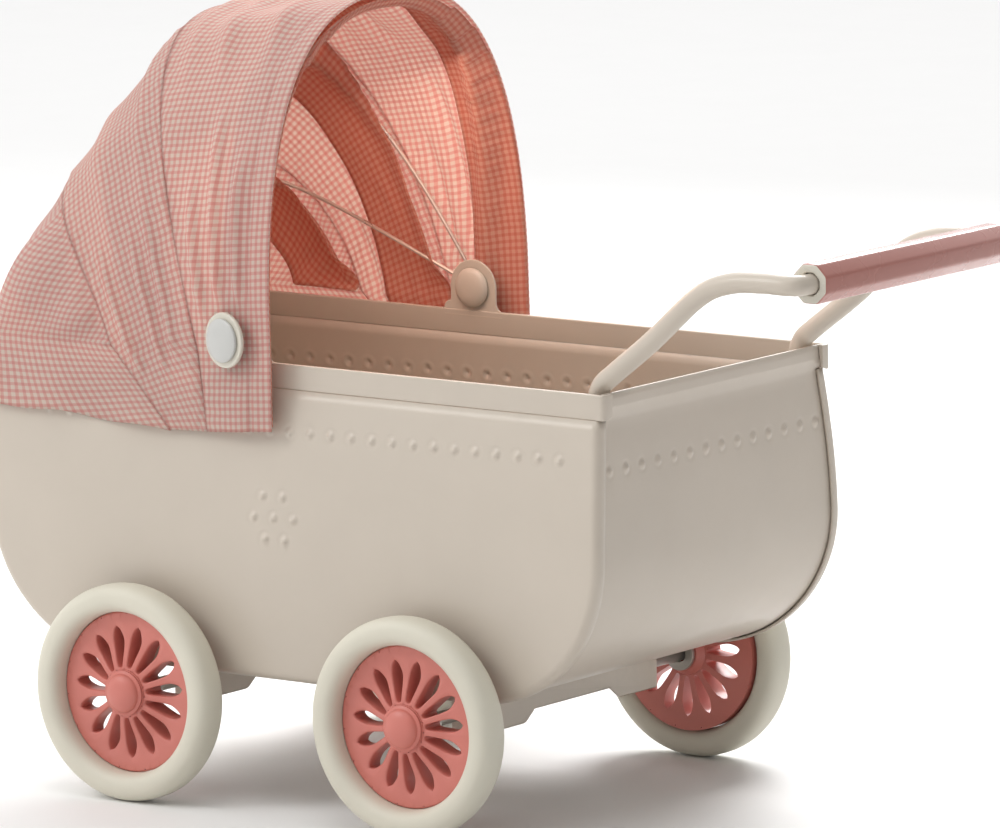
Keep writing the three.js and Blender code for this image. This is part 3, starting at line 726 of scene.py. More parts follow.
def slot_loops():
    """A leaf-shaped slot and the edge of its sector, as matching loops of (outward, sideways)."""
    half_sector = math.pi / SLOT_COUNT
    rim = DISC_RADIUS - 0.4
    half = smooth_path([(u, v, 0) for u, v in SLOT_HALF], 5)[:, :2]
    count = len(half)
    slot, sector = [], []
    for k, (u, v) in enumerate(half):
        share = k / (count - 1)
        if share < 0.12:
            radius, angle = HUB_RADIUS, half_sector * share / 0.12
        elif share > 0.72:
            radius, angle = rim, half_sector * (1 - share) / 0.28
        else:
            along = (share - 0.12) / 0.60
            radius, angle = HUB_RADIUS + (rim - HUB_RADIUS) * along, half_sector
        slot.append((u, max(v, 0)))
        sector.append((radius * math.cos(angle), radius * math.sin(angle)))
    slot += [(u, -v) for u, v in slot[-2:0:-1]]
    sector += [(u, -v) for u, v in sector[-2:0:-1]]
    return np.array(slot), np.array(sector)


def build_wheel(label, side, at):
    """The pink spoked disc: fifteen sectors, each with a rounded slot and deep walls."""
    slot, sector = slot_loops()
    toward = (sector - slot) / np.linalg.norm(sector - slot, axis=1)[:, None]
    gap = np.linalg.norm(sector - slot, axis=1)
    bead = np.minimum(0.4, gap * 0.5)[:, None]

    def at_height(flat, drop):
        return np.column_stack([flat, plate_height(np.hypot(*flat.T)) - drop])

    rings = [
        np.column_stack([sector, np.full(len(sector), PLATE_BACK)]),
        np.column_stack([slot, np.full(len(slot), PLATE_BACK)]),
        np.column_stack([slot, np.full(len(slot), PLATE_BACK / 2)]),
        at_height(slot, 0.42),
        at_height(slot + toward * bead * 0.3, 0.12),
        at_height(slot + toward * bead, 0.0),
        at_height((slot + toward * bead + sector) / 2, 0.0),
        at_height(sector, 0.0),
    ]
    one = np.vstack(rings)
    points, faces = [], []
    for k in range(SLOT_COUNT):
        turn = 2 * math.pi * (k + 0.3) / SLOT_COUNT
        c, s = math.cos(turn), math.sin(turn)
        turned = [(u * c - v * s, w, u * s + v * c) for u, v, w in one]
        join(points, faces, turned, grid_faces(len(rings), len(slot), close_columns=True))
    edge = [(DISC_RADIUS - 0.4, 0.0), (DISC_RADIUS - 0.12, -0.1), (DISC_RADIUS, -0.4),
            (DISC_RADIUS, PLATE_BACK), (DISC_RADIUS - 0.4, PLATE_BACK)]
    join(points, faces, *lathe(edge, SLOT_COUNT * 12))
    bore, front, back = 2.2, 1.75, -6.0
    hub = rounded([(HUB_RADIUS, 1.5), (HUB_RADIUS, front), (bore, front)], 0.15)
    hub.append(np.array((bore, back)))
    hub += rounded([(bore, back), (4.2, back), (HUB_RADIUS, PLATE_BACK)], 0.5)
    join(points, faces, *lathe(hub, 60))
    points = [(at[0] + x, at[1] + side * w, at[2] + z) for x, w, z in points]
    piece = add_piece(f"spoked_disc_{label}", points, faces, PINK)
    tidy_mesh(piece, merge=0.02, sharp=50)
    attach(piece, f"wheel_{label}")
    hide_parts(f"wheel_{label}")


def build_running_gear():
    tyre = []
    middle_radius = (TYRE_RADIUS + DISC_RADIUS) / 2 + 0.03
    rise = (TYRE_RADIUS - DISC_RADIUS) / 2 - 0.03
    for k in range(33):
        turn = 2 * math.pi * k / 32
        c, s = math.cos(turn), math.sin(turn)
        tyre.append((middle_radius + rise * math.copysign(abs(c) ** 0.85, c),
                     TYRE_HALF_WIDTH * math.copysign(abs(s) ** 0.72, s)))
    cap_mouth, cap_flange, cap_dome = 1.85, 5.25, 4.5
    cap = rounded([(2.0, cap_mouth), (cap_flange, cap_mouth), (cap_flange, cap_mouth + 0.45),
                   (4.55, cap_mouth + 0.75)], 0.2)
    cap += [np.array((cap_dome * math.cos(t), cap_mouth + 0.8 + 2.0 * math.sin(t) ** 0.9))
            for t in np.linspace(0.05, math.pi / 2, 10)[:-1]]
    cap.append(np.array((0.02, cap_mouth + 2.8)))
    bore, edge, back, front = 1.9, 4.0, -7.3, -6.3
    washer = rounded([(bore, back), (edge, back), (edge, front), (bore, front)], 0.2, closed=True)
    washer.append(washer[0])
    for end, sign in (("front", -1), ("rear", 1)):
        rod = [(0.02, -AXLE_TIP_Y), (AXLE_RADIUS - 0.3, -AXLE_TIP_Y),
               (AXLE_RADIUS, 0.4 - AXLE_TIP_Y), (AXLE_RADIUS, AXLE_TIP_Y - 0.4),
               (AXLE_RADIUS - 0.3, AXLE_TIP_Y), (0.02, AXLE_TIP_Y)]
        axle = turned_piece(f"axle_rod_{end}", rod, STEEL, at=(sign * AXLE_X, 0, AXLE_Z),
                            segments=32)
        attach(axle, "tub")
        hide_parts(f"axle_{end}")
        for side, word in SIDES:
            label = f"{end}_{word}"
            at = (sign * AXLE_X, side * WHEEL_Y, AXLE_Z)
            build_wheel(label, side, at)
            for name, profile, finish, slot, body, node, segments in (
                ("soft_tyre", tyre, RUBBER, "tyre", f"wheel_{label}", "tyre", 96),
                ("axle_cap", cap, PINK, "wheel_plastic", "tub", "hub_cap", 48),
                ("washer", washer, STEEL, "steel", "tub", "axle_washer", 32),
            ):
                piece = turned_piece(f"{name}_{label}", profile, finish, side, at, segments)
                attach(piece, body)
                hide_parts(f"{node}_{label}")


def finish_carriers():
    """The folded channels under the tub keep their CAD shape, with softened edges."""
    for end in ("front", "rear"):
        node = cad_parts[f"axle_carrier_{end}"]
        node.data.materials.clear()
        node.data.materials.append(PAINT)
        weld = node.modifiers.new("weld", "WELD")
        weld.merge_threshold = 0.01 * MM
        soften_edges(node, 0.5)


# ---------------------------------------------------------------- handle
def build_handle():
    arm_y, splay_y = 38.8, 40.4
    arm = [(80.2, arm_y, 66), (80.2, arm_y, 80), (80.3, arm_y, 93), (80.7, arm_y, 99),
           (82.0, arm_y, 103), (85.4, arm_y, 106.0), (95.9, 39.2, 114.0), (109.0, 39.7, 125.0),
           (117.6, 40.0, 128.6), (126, 40.3, BAR_Z), (132.6, splay_y, BAR_Z),
           (135.1, splay_y - 1, BAR_Z), (BAR_X, splay_y - 3.2, BAR_Z), (BAR_X, 34, BAR_Z),
           (BAR_X, 20, BAR_Z)]
    whole = [(x, -y, z) for x, y, z in arm] + arm[::-1]
    rod_radius = 2.3
    points, faces = tube(smooth_path(whole, 6), rod_radius, 20)
    rod = tidy_mesh(add_piece("handle_bent_rod", points, faces, PAINT), sharp=60)
    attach(rod, "tub")
    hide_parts("handle_rod")

    radius, bore = 4.75, 2.55
    corners = [(radius * math.cos(math.pi / 4 * (k + 0.5)), radius * math.sin(math.pi / 4 * (k + 0.5)))
               for k in range(8)]
    outline = rounded(corners, 1.3, steps=4, closed=True)
    count = len(outline)
    half = GRIP_HALF_LENGTH
    stations = [(-half + 0.45, 1.0), (half - 0.45, 1.0)]
    shell = []
    for y, size in [(-half, 0.955), (-half + 0.15, 0.985), *stations, (half - 0.15, 0.985),
                    (half, 0.955)]:
        shell += [(BAR_X + x * size, y, BAR_Z + z * size) for x, z in outline]
    faces = grid_faces(6, count, close_columns=True)
    sleeve = tidy_mesh(add_piece("grip_sleeve", shell, faces, MAUVE), sharp=60)
    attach(sleeve, "grip")
    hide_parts("handle_grip")
    for side, word in SIDES:
        plug, rings = [], [(0.955, None, 0.0), (0.90, None, 0.12), (None, bore + 0.25, 0.12),
                           (None, bore, -0.1), (None, bore, -3.0)]
        for size, ring_radius, out in rings:
            for k, (x, z) in enumerate(outline):
                if ring_radius:
                    length = math.hypot(x, z)
                    x, z = x * ring_radius / length, z * ring_radius / length
                else:
                    x, z = x * size, z * size
                plug.append((BAR_X + x, side * (half + out), BAR_Z + z))
        faces = grid_faces(len(rings), count, close_columns=True)
        piece = tidy_mesh(add_piece(f"grip_end_{word}", plug, faces, CREAM))
        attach(piece, "grip")


# ------------------------------------------------------------------ hood
FOOT_Z = 103
WIRE_RADIUS = 0.45
EYE_MIDDLE = 2.2  # from the rivet's middle to where the wire meets its eye
BOWS = {
    "back": dict(layer_y=44.05, height=67.2, angle=157.9, exponent=5.2),
    "middle": dict(layer_y=45.25, height=72.7, angle=123.3, exponent=2.6),
    "mouth": dict(layer_y=46.45, height=71.8, angle=84.0, exponent=2.3),
}
RIB_KEYS = ("hem_x", "hem_z", "foot_x", "ridge_x", "ridge_z", "exponent", "bow", "half", "hem_half")
RIBS = {
    "mouth": (-2.4, 87.0, -2.2, -3.7, MOUTH_Z, 2.6, 0, HOOD_HALF_WIDTH, 48.5),
    "seam_1": (-21.6, 85.3, -23.4, -51.0, 175.7, 2.35, 2.1, 48.1, 47.7),
    "seam_2": (-32.6, 84.8, -49.5, -76.0, 140.0, 3.6, 3.5, 47.2, 47.4),
}
BACK_CORNER = 4.0
BACK_DOME_ROWS = 30
SIDE_COLUMNS = 53  # of the back panel, from its front edge to the middle of a back corner
RIB_COLUMNS = 230
PANEL_ROWS = 44
MOUTH_HEM = 6.4  # from the mouth's edge to the hem's line of stitches
STITCH = 0.45  # how much of a seam's thread shows


def lengths_along(line):
    """Distance of each point of a polyline from its first one, along the line."""
    return np.concatenate([[0], np.cumsum(np.linalg.norm(np.diff(line, axis=0), axis=1))])


def resample(line, count):
    """The same polyline with evenly spaced points."""
    line = np.asarray(line, float)
    lengths = lengths_along(line)
    at = np.linspace(0, lengths[-1], count)
    return np.column_stack([np.interp(at, lengths, line[:, k]) for k in range(line.shape[1])])


def rib_line(values, with_hem=True):
    """A rib of the hood from its right hem up over the ridge to its left hem."""
    rib = dict(zip(RIB_KEYS, values))
    arch = []
    for turn in np.linspace(0, math.pi, 241):
        out = math.copysign(abs(math.cos(turn)) ** (2 / rib["exponent"]), -math.cos(turn))
        up = math.sin(turn) ** (2 / rib["exponent"]) if 0 < turn < math.pi else 0.0
        x = rib["foot_x"] + (rib["ridge_x"] - rib["foot_x"]) * up + 4 * rib["bow"] * up * (1 - up)
        arch.append((x, rib["half"] * out, FOOT_Z + (rib["ridge_z"] - FOOT_Z) * up))
    if with_hem:
        hem = (rib["hem_x"], rib["hem_half"], rib["hem_z"])
        arch = [(hem[0], -hem[1], hem[2])] + arch + [hem]
    return resample(arch, RIB_COLUMNS)


def between_ribs(first, second, share):
    return [a + (b - a) * share for a, b in zip(RIBS[first], RIBS[second])]


def grid_normals(grid):
    """Unit normals of a grid of points, pointing out of the hood."""
    down = np.gradient(grid, axis=0)
    along = np.gradient(grid, axis=1)
    normal = np.cross(down, along)
    normal /= np.maximum(np.linalg.norm(normal, axis=2), 1e-9)[:, :, None]
    center = np.array((PIVOT_X - 20, 0, 110))
    sign = np.sign(np.sum(normal * (grid - center), axis=2))
    return normal * np.where(sign == 0, 1, sign)[:, :, None]


def soft_noise(grid, size, seed):
    """Smooth irregular bumps over a grid of points, mostly from -1 to 1, from summed sine waves."""
    waves = np.random.default_rng(seed)
    total = np.zeros(grid.shape[:2])
    for _ in range(9):
        direction = waves.normal(size=3)
        direction *= waves.uniform(0.6, 1.5) / np.linalg.norm(direction)
        total += np.sin(2 * math.pi * (grid @ direction) / size + waves.uniform(0, 2 * math.pi))
    return total / 3.5


def map_of(grid, straight_row=None):
    """Cloth coordinates in millimetres: along a middle row, and away from it across the rows."""
    rows = grid.shape[0]
    straight = rows // 2 if straight_row is None else straight_row
    along = lengths_along(grid[straight])
    along -= along[-1] / 2
    across, _ = edge_distances(grid)
    across -= across[straight].copy()
    return np.repeat(along[None, :], rows, axis=0), across


def cloth_sheet(name, grid, finish, stitch, uv=None, thickness=0.32):
    """A sheet of cloth centred on a grid of points; stitch says how much thread shows at each."""
    rows, columns = grid.shape[:2]
    faces = grid_faces(rows, columns)
    piece = add_piece(name, grid.reshape(-1, 3), faces, finish, sharp=0)
    u, v = map_of(grid) if uv is None else uv
    layer = piece.data.uv_layers.new(name="cloth")
    flat = np.column_stack([u.ravel(), v.ravel()])
    corners = np.zeros(len(piece.data.loops), int)
    piece.data.loops.foreach_get("vertex_index", corners)
    layer.data.foreach_set("uv", flat[corners].ravel())
    mark = piece.data.attributes.new("stitch", "FLOAT", "POINT")
    mark.data.foreach_set("value", np.asarray(stitch, np.float32).ravel())
    thicken(piece, thickness, offset=0, even=False)
    return piece


def gauss(value, width):
    return np.exp(-((np.asarray(value, float) / width) ** 2))


def edge_distances(grid):
    """Distance of each point from the first and from the last row, across the rows."""
    gaps = np.linalg.norm(np.diff(grid, axis=0), axis=2)
    down = np.vstack([np.zeros(grid.shape[1]), np.cumsum(gaps, axis=0)])
    return down, down[-1] - down


def rib_lengths(grid):
    gaps = np.linalg.norm(np.diff(grid, axis=1), axis=2)
    along = np.column_stack([np.zeros(grid.shape[0]), np.cumsum(gaps, axis=1)])
    return along - along[:, -1:] / 2


def seam_shape(distance, along, phase):
    """Height near a seam: a narrow groove, and puckers that fade away from it."""
    groove = -0.14 * gauss(distance, 0.55)
    beads = np.sin(2 * math.pi * along / 5.2 + phase + 1.3 * np.sin(along / 9))
    pucker = 0.34 * beads * np.exp(-distance / 3.5) * (1 - gauss(distance, 0.8))
    return groove + pucker


def declare_bend(piece, grid, weights, lower, upper):
    """Blends the sheet between two bodies, with the share given point by point.

    The bodies turn about one pivot, so shares that run from seam to seam keep
    neighbouring sheets together when the hood folds.
    """
    first, last = place(grid[0, grid.shape[1] // 2]), place(grid[-1, grid.shape[1] // 2])
    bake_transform(piece, lower, upper, start=last, end=first)
    attribute = piece.data.attributes["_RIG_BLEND"]
    attribute.data.foreach_set("value", np.asarray(weights, np.float32).ravel())


def panel_between(first, second):
    """A panel's points, and for each its place along the rib, how far up and how far across it is."""
    shares = np.linspace(0, 1, PANEL_ROWS)
    rest = np.array([rib_line(between_ribs(first, second, t)) for t in shares])
    along = rib_lengths(rest)
    up = 1 - np.abs(along) / np.abs(along[:, :1])
    return rest, along, up, shares[:, None] * np.ones_like(up)


def ridges(share, up, bend, shapes):
    """Upright wrinkles: place, width, lower and upper end and height of each. bend curves them."""
    height = np.zeros_like(up)
    for at, width, low, high, size in shapes:
        ends = smoothstep(up, low, low + 0.08) * (1 - smoothstep(up, high - 0.15, high))
        height += size * gauss(share - at - bend, width) * ends
    return height


def build_mouth_panel():
    rest, along, up, share = panel_between("mouth", "seam_1")
    from_mouth, from_seam = edge_distances(rest)
    height = seam_shape(from_seam, along, 0.4)
    height += 0.40 * (1 - smoothstep(from_mouth, 4.8, 6.2)) - 0.22 * gauss(from_mouth - MOUTH_HEM, 0.5)
    height += 0.5 * soft_noise(rest, 24, 3) * smoothstep(from_mouth, 3, 10)
    height -= 0.35 * gauss(rest[:, :, 2] - FOOT_Z, 1.1) * smoothstep(from_mouth, 5, 8)
    height += ridges(share, up, 0.05 * np.sin(up * 7), (
        (0.32, 0.045, 0.16, 0.58, 1.7), (0.55, 0.045, 0.12, 0.66, 1.9), (0.78, 0.045, 0.16, 0.54, 1.5)))
    for at, lean, size in ((0.30, 0.45, 1.4), (0.62, 0.40, 1.5), (0.85, 0.3, 1.0)):
        ridge_line = share - at - lean * (up - 0.8)
        height += size * gauss(ridge_line, 0.055) * smoothstep(up, 0.62, 0.8)
    near_button = np.linalg.norm(rest[:, :, [0, 2]] - (PIVOT_X, PIVOT_Z), axis=2)
    height *= smoothstep(near_button, 7, 14) * (0.1 + 0.9 * smoothstep(from_seam, 0, 2))
    grid = rest + grid_normals(rest) * height[:, :, None]
    stitch = STITCH * gauss(from_seam, 0.45) + 0.2 * gauss(from_mouth - MOUTH_HEM, 0.35)
    piece = cloth_sheet("hood_sheet_mouth", grid, COTTON, stitch, map_of(rest, straight_row=0))
    weights = 1 - share
    declare_bend(piece, rest, weights, "bow_middle", "bow_mouth")
    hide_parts("hood_cloth_mouth")
    return piece, rest, grid, weights


def build_middle_panel():
    rest, along, up, share = panel_between("seam_1", "seam_2")
    from_first, from_second = edge_distances(rest)
    height = seam_shape(from_first, along, 0.4) + seam_shape(from_second, along, 2.0)
    height += 0.5 * soft_noise(rest, 22, 5)
    height -= 0.35 * gauss(rest[:, :, 2] - FOOT_Z, 1.1)
    height += 0.65 * gauss(from_first - 7, 2.0) * smoothstep(up, 0.3, 0.5)
    height += 0.8 * gauss(share - 0.62, 0.09) * smoothstep(up, 0.2, 0.45)
    height += ridges(share, up, 0, (
        (0.25, 0.045, 0.12, 0.48, 1.3), (0.45, 0.04, 0.10, 0.46, 1.4), (0.80, 0.045, 0.12, 0.5, 1.2)))
    height *= smoothstep(from_first, 0, 2) * smoothstep(from_second, 0, 2) * 0.9 + 0.1
    grid = rest + grid_normals(rest) * height[:, :, None]
    stitch = STITCH * (gauss(from_first, 0.45) + gauss(from_second, 0.45))
    piece = cloth_sheet("hood_sheet_middle", grid, COTTON, stitch)
    weights = 1 - share
    declare_bend(piece, rest, weights, "bow_back", "bow_middle")
    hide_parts("hood_cloth_middle")
    return piece, rest, grid, weights


def build_back_panel():
    """From the rear seam down to the rim and on to the hem, round both back corners."""
    seam = dict(zip(RIB_KEYS, RIBS["seam_2"]))
    arch = rib_line(RIBS["seam_2"], with_hem=False)

    def plan(x_start, half_start, back_half, z):
        corners = [(x_start, -half_start), (HOOD_BACK_X, -back_half), (HOOD_BACK_X, back_half),
                   (x_start, half_start)]
        line = np.array(rounded(corners, BACK_CORNER, steps=10))
        first = np.argmax(-line[:, 0] - line[:, 1])
        last = np.argmax(-line[:, 0] + line[:, 1])
        across_back = resample(line[first:last + 1], RIB_COLUMNS - 2 * SIDE_COLUMNS + 2)
        flat = np.vstack([resample(line[:first + 1], SIDE_COLUMNS), across_back[1:-1],
                          resample(line[last:], SIDE_COLUMNS)])
        return np.column_stack([flat, np.full(RIB_COLUMNS, z)])

    rim_half, hem_half, hem_z = 45.6, 46.8, 86.5
    rim = plan(seam["foot_x"], seam["half"], rim_half, FOOT_Z)
    hem = plan(seam["hem_x"], seam["hem_half"], hem_half, 0)
    hem[:, 2] = hem_z - 1.7 * smoothstep(hem[:, 0], -75, seam["hem_x"])
    hem[:, 2] += 0.35 * np.sin(hem[:, 0] / 3.7) * smoothstep(hem[:, 0], -85, -78)
    dome_rows, skirt_rows = BACK_DOME_ROWS, 14
    lines = []
    for t in np.linspace(0, 1, dome_rows):
        line = arch + (rim - arch) * t
        lines.append(line)
    for t in np.linspace(0, 1, skirt_rows + 1)[1:]:
        lines.append(rim + (hem - rim) * t)
    rest = np.array(lines)
    normal = grid_normals(rest)
    t_dome = np.concatenate([np.linspace(0, 1, dome_rows), np.ones(skirt_rows)])[:, None]
    t_skirt = np.concatenate([np.zeros(dome_rows), np.linspace(0, 1, skirt_rows + 1)[1:]])[:, None]
    on_dome = t_skirt == 0
    drop = np.linalg.norm(arch - rim, axis=1)[None, :]
    bulge = 0.10 * drop * np.sin(math.pi * t_dome) * on_dome
    along = rib_lengths(rest)
    from_seam, _ = edge_distances(rest)
    from_rim = np.abs(rest[:, :, 2] - FOOT_Z)
    bulge = bulge * smoothstep(drop, 2, 14)
    height = bulge.copy()
    height += seam_shape(from_seam, along, 2.0) * smoothstep(drop, 3, 10) * on_dome
    height += 0.55 * soft_noise(rest, 20, 8)
    folds = np.sin(2 * math.pi * along / 17 + 0.8 * np.sin(along / 11))
    height += 0.6 * folds * np.sin(math.pi * t_dome) * on_dome
    height -= 0.35 * gauss(from_rim, 1.0)
    height += 0.4 * t_skirt * np.sin(2 * math.pi * along / 23 + 1)
    edge = np.abs(along) / np.abs(along[:, :1])
    height *= 1 - smoothstep(edge, 0.975, 1.0)
    wrinkle = (height - bulge) * (0.1 + 0.9 * smoothstep(from_seam, 0, 2))
    near_corner = np.hypot(rest[:, :, 0] - HOOD_BACK_X, np.abs(rest[:, :, 1]) - rim_half)
    height = bulge + wrinkle * smoothstep(near_corner, 3, 12)
    grid = rest + normal * height[:, :, None]
    stitch = STITCH * gauss(from_seam, 0.45) * on_dome
    piece = cloth_sheet("hood_sheet_back", grid, COTTON, stitch, map_of(rest, dome_rows - 1))
    run = np.abs(np.abs(along[dome_rows - 1:dome_rows]) - np.abs(along[dome_rows - 1, 0]))
    rim_share = 1 - smoothstep(run, 0, 36)
    weights = (1 - t_dome) + t_dome * rim_share
    declare_bend(piece, rest, weights, "tub", "bow_back")
    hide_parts("hood_cloth_back", "hood_cloth_skirt")
    return piece, rest + normal * bulge[:, :, None], grid, weights


def wire_line(name):
    """The centre line of a bow's wire: half a superellipse leaning about the rivets."""
    sizes = BOWS[name]
    power = 2 / sizes["exponent"]
    lean = math.radians(sizes["angle"])
    start = math.asin((EYE_MIDDLE / sizes["height"]) ** (1 / power))
    path = []
    for turn in np.linspace(start, math.pi - start, 121):
        out = math.copysign(abs(math.cos(turn)) ** power, -math.cos(turn))
        reach = sizes["height"] * math.sin(turn) ** power
        path.append((PIVOT_X + reach * math.cos(lean), sizes["layer_y"] * out,
                     PIVOT_Z + reach * math.sin(lean)))
    return np.array(path)


def build_band(name, rest, grid, weights, wire, width, bodies, low_z):
    """A doubled band of cloth sewn inside a panel along its first row, over a wire.

    rest is the panel without its wrinkles and grid the panel with them: the band stays
    inside the wrinkles and, where the wire runs close, goes round its inner side.
    """
    room, deepest, reach = 0.5, 4.6, 3.2
    normal = grid_normals(rest)
    wrinkle = np.sum((grid - rest) * normal, axis=2)
    distance, _ = edge_distances(rest)
    lines, bend = [], []
    for j in [j for j in range(rest.shape[1]) if rest[0, j, 2] > low_z]:
        gaps = [np.linalg.norm(wire - spot, axis=1).min() for spot in rest[:, j]]
        row = int(np.argmin(gaps))
        wire_at = distance[row, j]
        clear = float(smoothstep(rest[0, j, 2], FOOT_Z + 2, FOOT_Z + 10))
        depth = min(gaps[row] + WIRE_RADIUS + room, deepest) * clear
        line, share = [], []
        for want in np.linspace(0, min(distance[-1, j], width), 15):
            spot = np.array([np.interp(want, distance[:, j], rest[:, j, axis]) for axis in range(3)])
            facing = normal[np.searchsorted(distance[:, j], want).clip(0, len(rest) - 1), j]
            below = 0.2 + 0.35 * float(smoothstep(want, 0, 1.5))
            level = np.interp(want, distance[:, j], wrinkle[:, j]) - below
            line.append(spot + facing * min(level, -depth * float(gauss(want - wire_at, reach))))
            share.append(np.interp(want, distance[:, j], weights[:, j]))
        lines.append(line)
        bend.append(share)
    band = np.array(lines).transpose(1, 0, 2)
    edge = np.zeros(band.shape[:2])
    edge[0], edge[-1] = 0.3, 0.3
    # The doubled band takes the darker check, painted shade of two layers of cloth.
    piece = cloth_sheet(name, band, SHADED_DOUBLE_COTTON, edge, thickness=0.28)
    declare_bend(piece, band, np.array(bend).T, *bodies)
    return piece


def build_bows():
    for name, sizes in BOWS.items():
        points, faces = tube(wire_line(name)[::2], WIRE_RADIUS, 12)
        points = [tuple(p) for p in points]
        bore, edge, half = 1.6, 3.0, 0.4
        eye = rounded([(bore, -half), (edge, -half), (edge, half), (bore, half)], 0.2, closed=True)
        eye.append(eye[0])
        for side in (1, -1):
            join(points, faces, *lathe(eye, 32, 1, (PIVOT_X, side * sizes["layer_y"], PIVOT_Z)))
        piece = tidy_mesh(add_piece(f"wire_bow_{name}", points, faces, WIRE), sharp=60)
        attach(piece, f"bow_{name}")
        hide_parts(f"hood_bow_{name}")


def build_buttons():
    head_y = EAR_Y - 0.3
    head = RIVET_HEAD_RADIUS
    rivet = [(0.02, head_y - 1.5), (head * 0.4, head_y - 1.45), (head * 0.75, head_y - 1.15),
             (head * 0.93, head_y - 0.7), (head, head_y - 0.15), (head, head_y), (1.25, head_y),
             (1.25, RIVET_TIP_Y - 0.3), (0.02, RIVET_TIP_Y)]
    ring = rounded([(1.9, 0), (RING_RADIUS, 0), (RING_RADIUS, 1), (1.9, 1)], 0.45, closed=True)
    ring.append(ring[0])
    rim = rounded([(2.05, 1.05), (CAP_RADIUS, 1.05), (CAP_RADIUS, 1.75), (4.1, 2.15)], 0.3)
    cap = rim + [np.array((2.2, 2.4)), np.array((0.02, 2.5))]
    for side, word in SIDES:
        on_axis = (PIVOT_X, 0, PIVOT_Z)
        on_cloth = (PIVOT_X, side * BUTTON_Y, PIVOT_Z)
        for name, profile, finish, slot, node, at, lean in (
            ("rivet_head", rivet, PAINT, "paint", "hood_rivet", on_axis, 0),
            ("snap_ring", ring, CREAM, "cream_plastic", "button_ring", on_cloth, BUTTON_TILT),
            ("snap_cap", cap, PEARL, "cream_plastic", "button_cap", on_cloth, BUTTON_TILT),
        ):
            piece = turned_piece(f"{name}_{word}", profile, finish, side, at, 64, lean=lean)
            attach(piece, "tub")
            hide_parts(f"{node}_{word}")


def declare_cloth(grid):
    """Works out how large the sheet was when it was cut out and laid flat, and its area; nothing is passed
    on.
    """
    across, _ = edge_distances(grid)
    length = np.linalg.norm(np.diff(grid, axis=1), axis=2).sum(axis=1).max()
    one, two = grid[1:, 1:] - grid[:-1, :-1], grid[1:, :-1] - grid[:-1, 1:]
    area = 0.5 * np.linalg.norm(np.cross(one, two), axis=2).sum()
    flat = (float(across[-1].max()) * MM, float(length) * MM)
    area = min(float(area) * MM * MM, flat[0] * flat[1])


def build_hood():
    mouth, *mouth_shape = build_mouth_panel()
    middle_sheet, *middle_shape = build_middle_panel()
    back, *back_shape = build_back_panel()
    dome = [part[:BACK_DOME_ROWS] for part in back_shape]
    facing = build_band("mouth_facing", *mouth_shape, wire_line("mouth"), 14,
                        ("bow_middle", "bow_mouth"), 88)
    casing_middle = build_band("casing_middle", *middle_shape, wire_line("middle"), 18,
                               ("bow_back", "bow_middle"), FOOT_Z - 3)
    casing_back = build_band("casing_back", *dome, wire_line("back"), 20,
                             ("tub", "bow_back"), FOOT_Z + 1)
    declare_cloth(mouth_shape[1])
    declare_cloth(middle_shape[1])
    declare_cloth(back_shape[1])


# ------------------------------------------------------- floor, light, camera
def aim(thing, at, to):
    direction = Vector(place(to)) - Vector(place(at))
    thing.location = Vector(place(at))
    thing.rotation_euler = direction.to_track_quat("-Z", "Y").to_euler()


def add_area_light(name, at, to, size, power, color=(1, 1, 1)):
    light = bpy.data.lights.new(name, "AREA")
    light.shape = "DISK"
    light.size = size * MM
    light.energy = power
    light.color = color
    thing = bpy.data.objects.new(name, light)
    bpy.context.scene.collection.objects.link(thing)
    aim(thing, at, to)
    thing.visible_camera = False


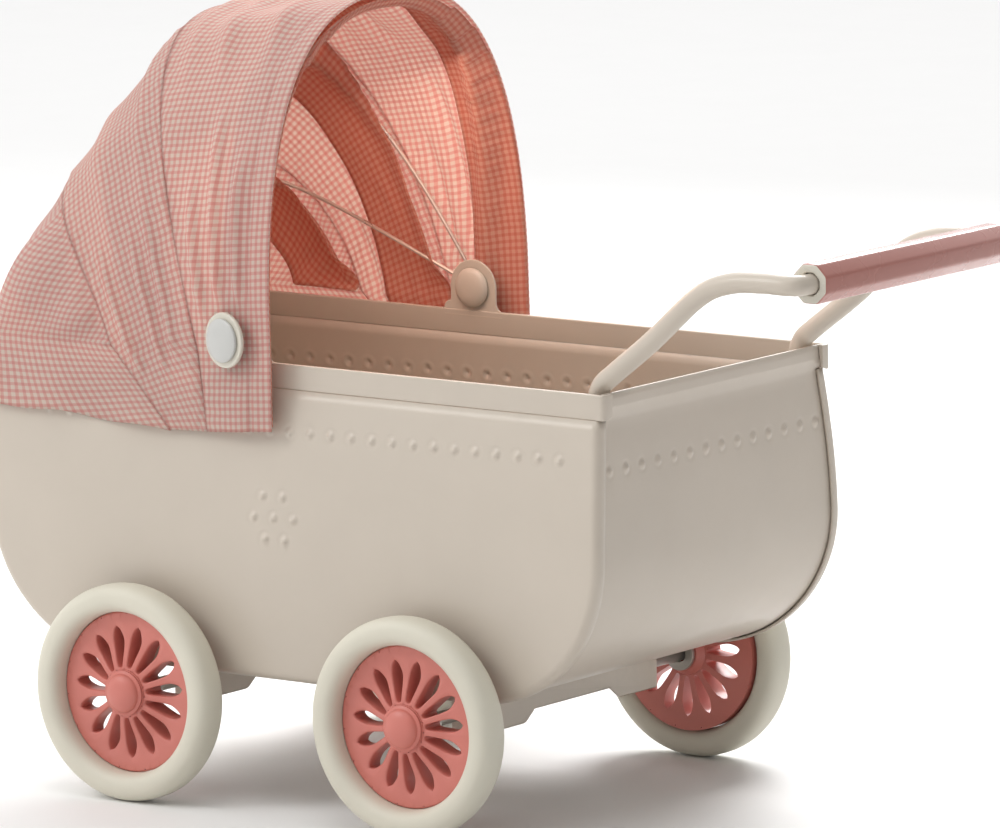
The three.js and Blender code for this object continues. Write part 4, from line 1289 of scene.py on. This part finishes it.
def build_stage():
    reach = 3000
    corners = [(-reach, -reach, 0), (reach, -reach, 0), (reach, reach, 0), (-reach, reach, 0)]
    pale = plain_finish("pale floor", (0.86, 0.855, 0.85), 0.6, 60, 0.01, variation=0.004)
    floor = add_piece("floor", corners, [(0, 1, 2, 3)], pale, sharp=0)
    world = bpy.data.worlds.new("studio")
    world.use_nodes = True
    tree = world.node_tree
    tree.nodes["Background"].inputs["Color"].default_value = (1, 1, 1, 1)
    direction = tree.nodes.new("ShaderNodeTexCoord").outputs["Generated"]
    toward = tree.nodes.new("ShaderNodeVectorMath")
    toward.operation = "DOT_PRODUCT"
    toward.inputs[1].default_value = (1.0, -0.12, -0.1)
    tree.links.new(direction, toward.inputs[0])
    shade = tree.nodes.new("ShaderNodeMapRange")
    shade.interpolation_type = "SMOOTHSTEP"
    for key, value in (("From Min", -0.35), ("From Max", 0.65), ("To Min", 1.0), ("To Max", 0.34)):
        shade.inputs[key].default_value = value
    tree.links.new(toward.outputs["Value"], shade.inputs["Value"])
    tree.links.new(shade.outputs["Result"], tree.nodes["Background"].inputs["Strength"])
    bpy.context.scene.world = world
    add_area_light("key", (-420, -560, 620), (10, 0, 80), 380, 1.9, (1.0, 0.99, 0.975))
    add_area_light("back", (-150, 600, 520), (-40, 0, 130), 420, 4.8)
    add_area_light("overhead", (150, -240, 760), (20, 20, 60), 420, 0.9, (1.0, 0.98, 0.95))
    # This one stands in for the light that comes through the cloth.
    add_area_light("through the hood", (-12, 0, 160), (20, 8, 55), 60, 0.045, (1.0, 0.74, 0.6))
    add_area_light("backdrop", (-750, 1000, 1500), (-750, 1000, 0), 1400, 9)
    bpy.context.scene.view_settings.view_transform = "Standard"


def build_camera():
    azimuth, elevation, roll = (math.radians(a) for a in (36.555, 9.207, -0.897))
    distance, target = 2217.5, (25.24, 0, 86.61)
    back = Vector((math.sin(azimuth) * math.cos(elevation),
                   -math.cos(azimuth) * math.cos(elevation), math.sin(elevation)))
    flat = Vector((math.cos(azimuth), math.sin(azimuth), 0))
    upright = back.cross(flat)
    right = flat * math.cos(roll) + upright * math.sin(roll)
    up = upright * math.cos(roll) - flat * math.sin(roll)
    camera = bpy.data.objects.new("camera", bpy.data.cameras.new("camera"))
    camera.data.sensor_width = 36
    camera.data.lens = 351.9
    camera.data.clip_end = 20
    turn = Matrix((right, up, back)).transposed().to_4x4()
    camera.matrix_world = Matrix.Translation(Vector(place(target)) + back * distance * MM) @ turn
    bpy.context.scene.collection.objects.link(camera)
    bpy.context.scene.camera = camera


build_camera()
build_stage()
for tub_side in SIDES:
    build_side(*tub_side)
    build_hem(*tub_side)
    build_ear(*tub_side)
build_strip()
build_running_gear()
finish_carriers()
build_handle()
build_bows()
build_buttons()
build_hood()
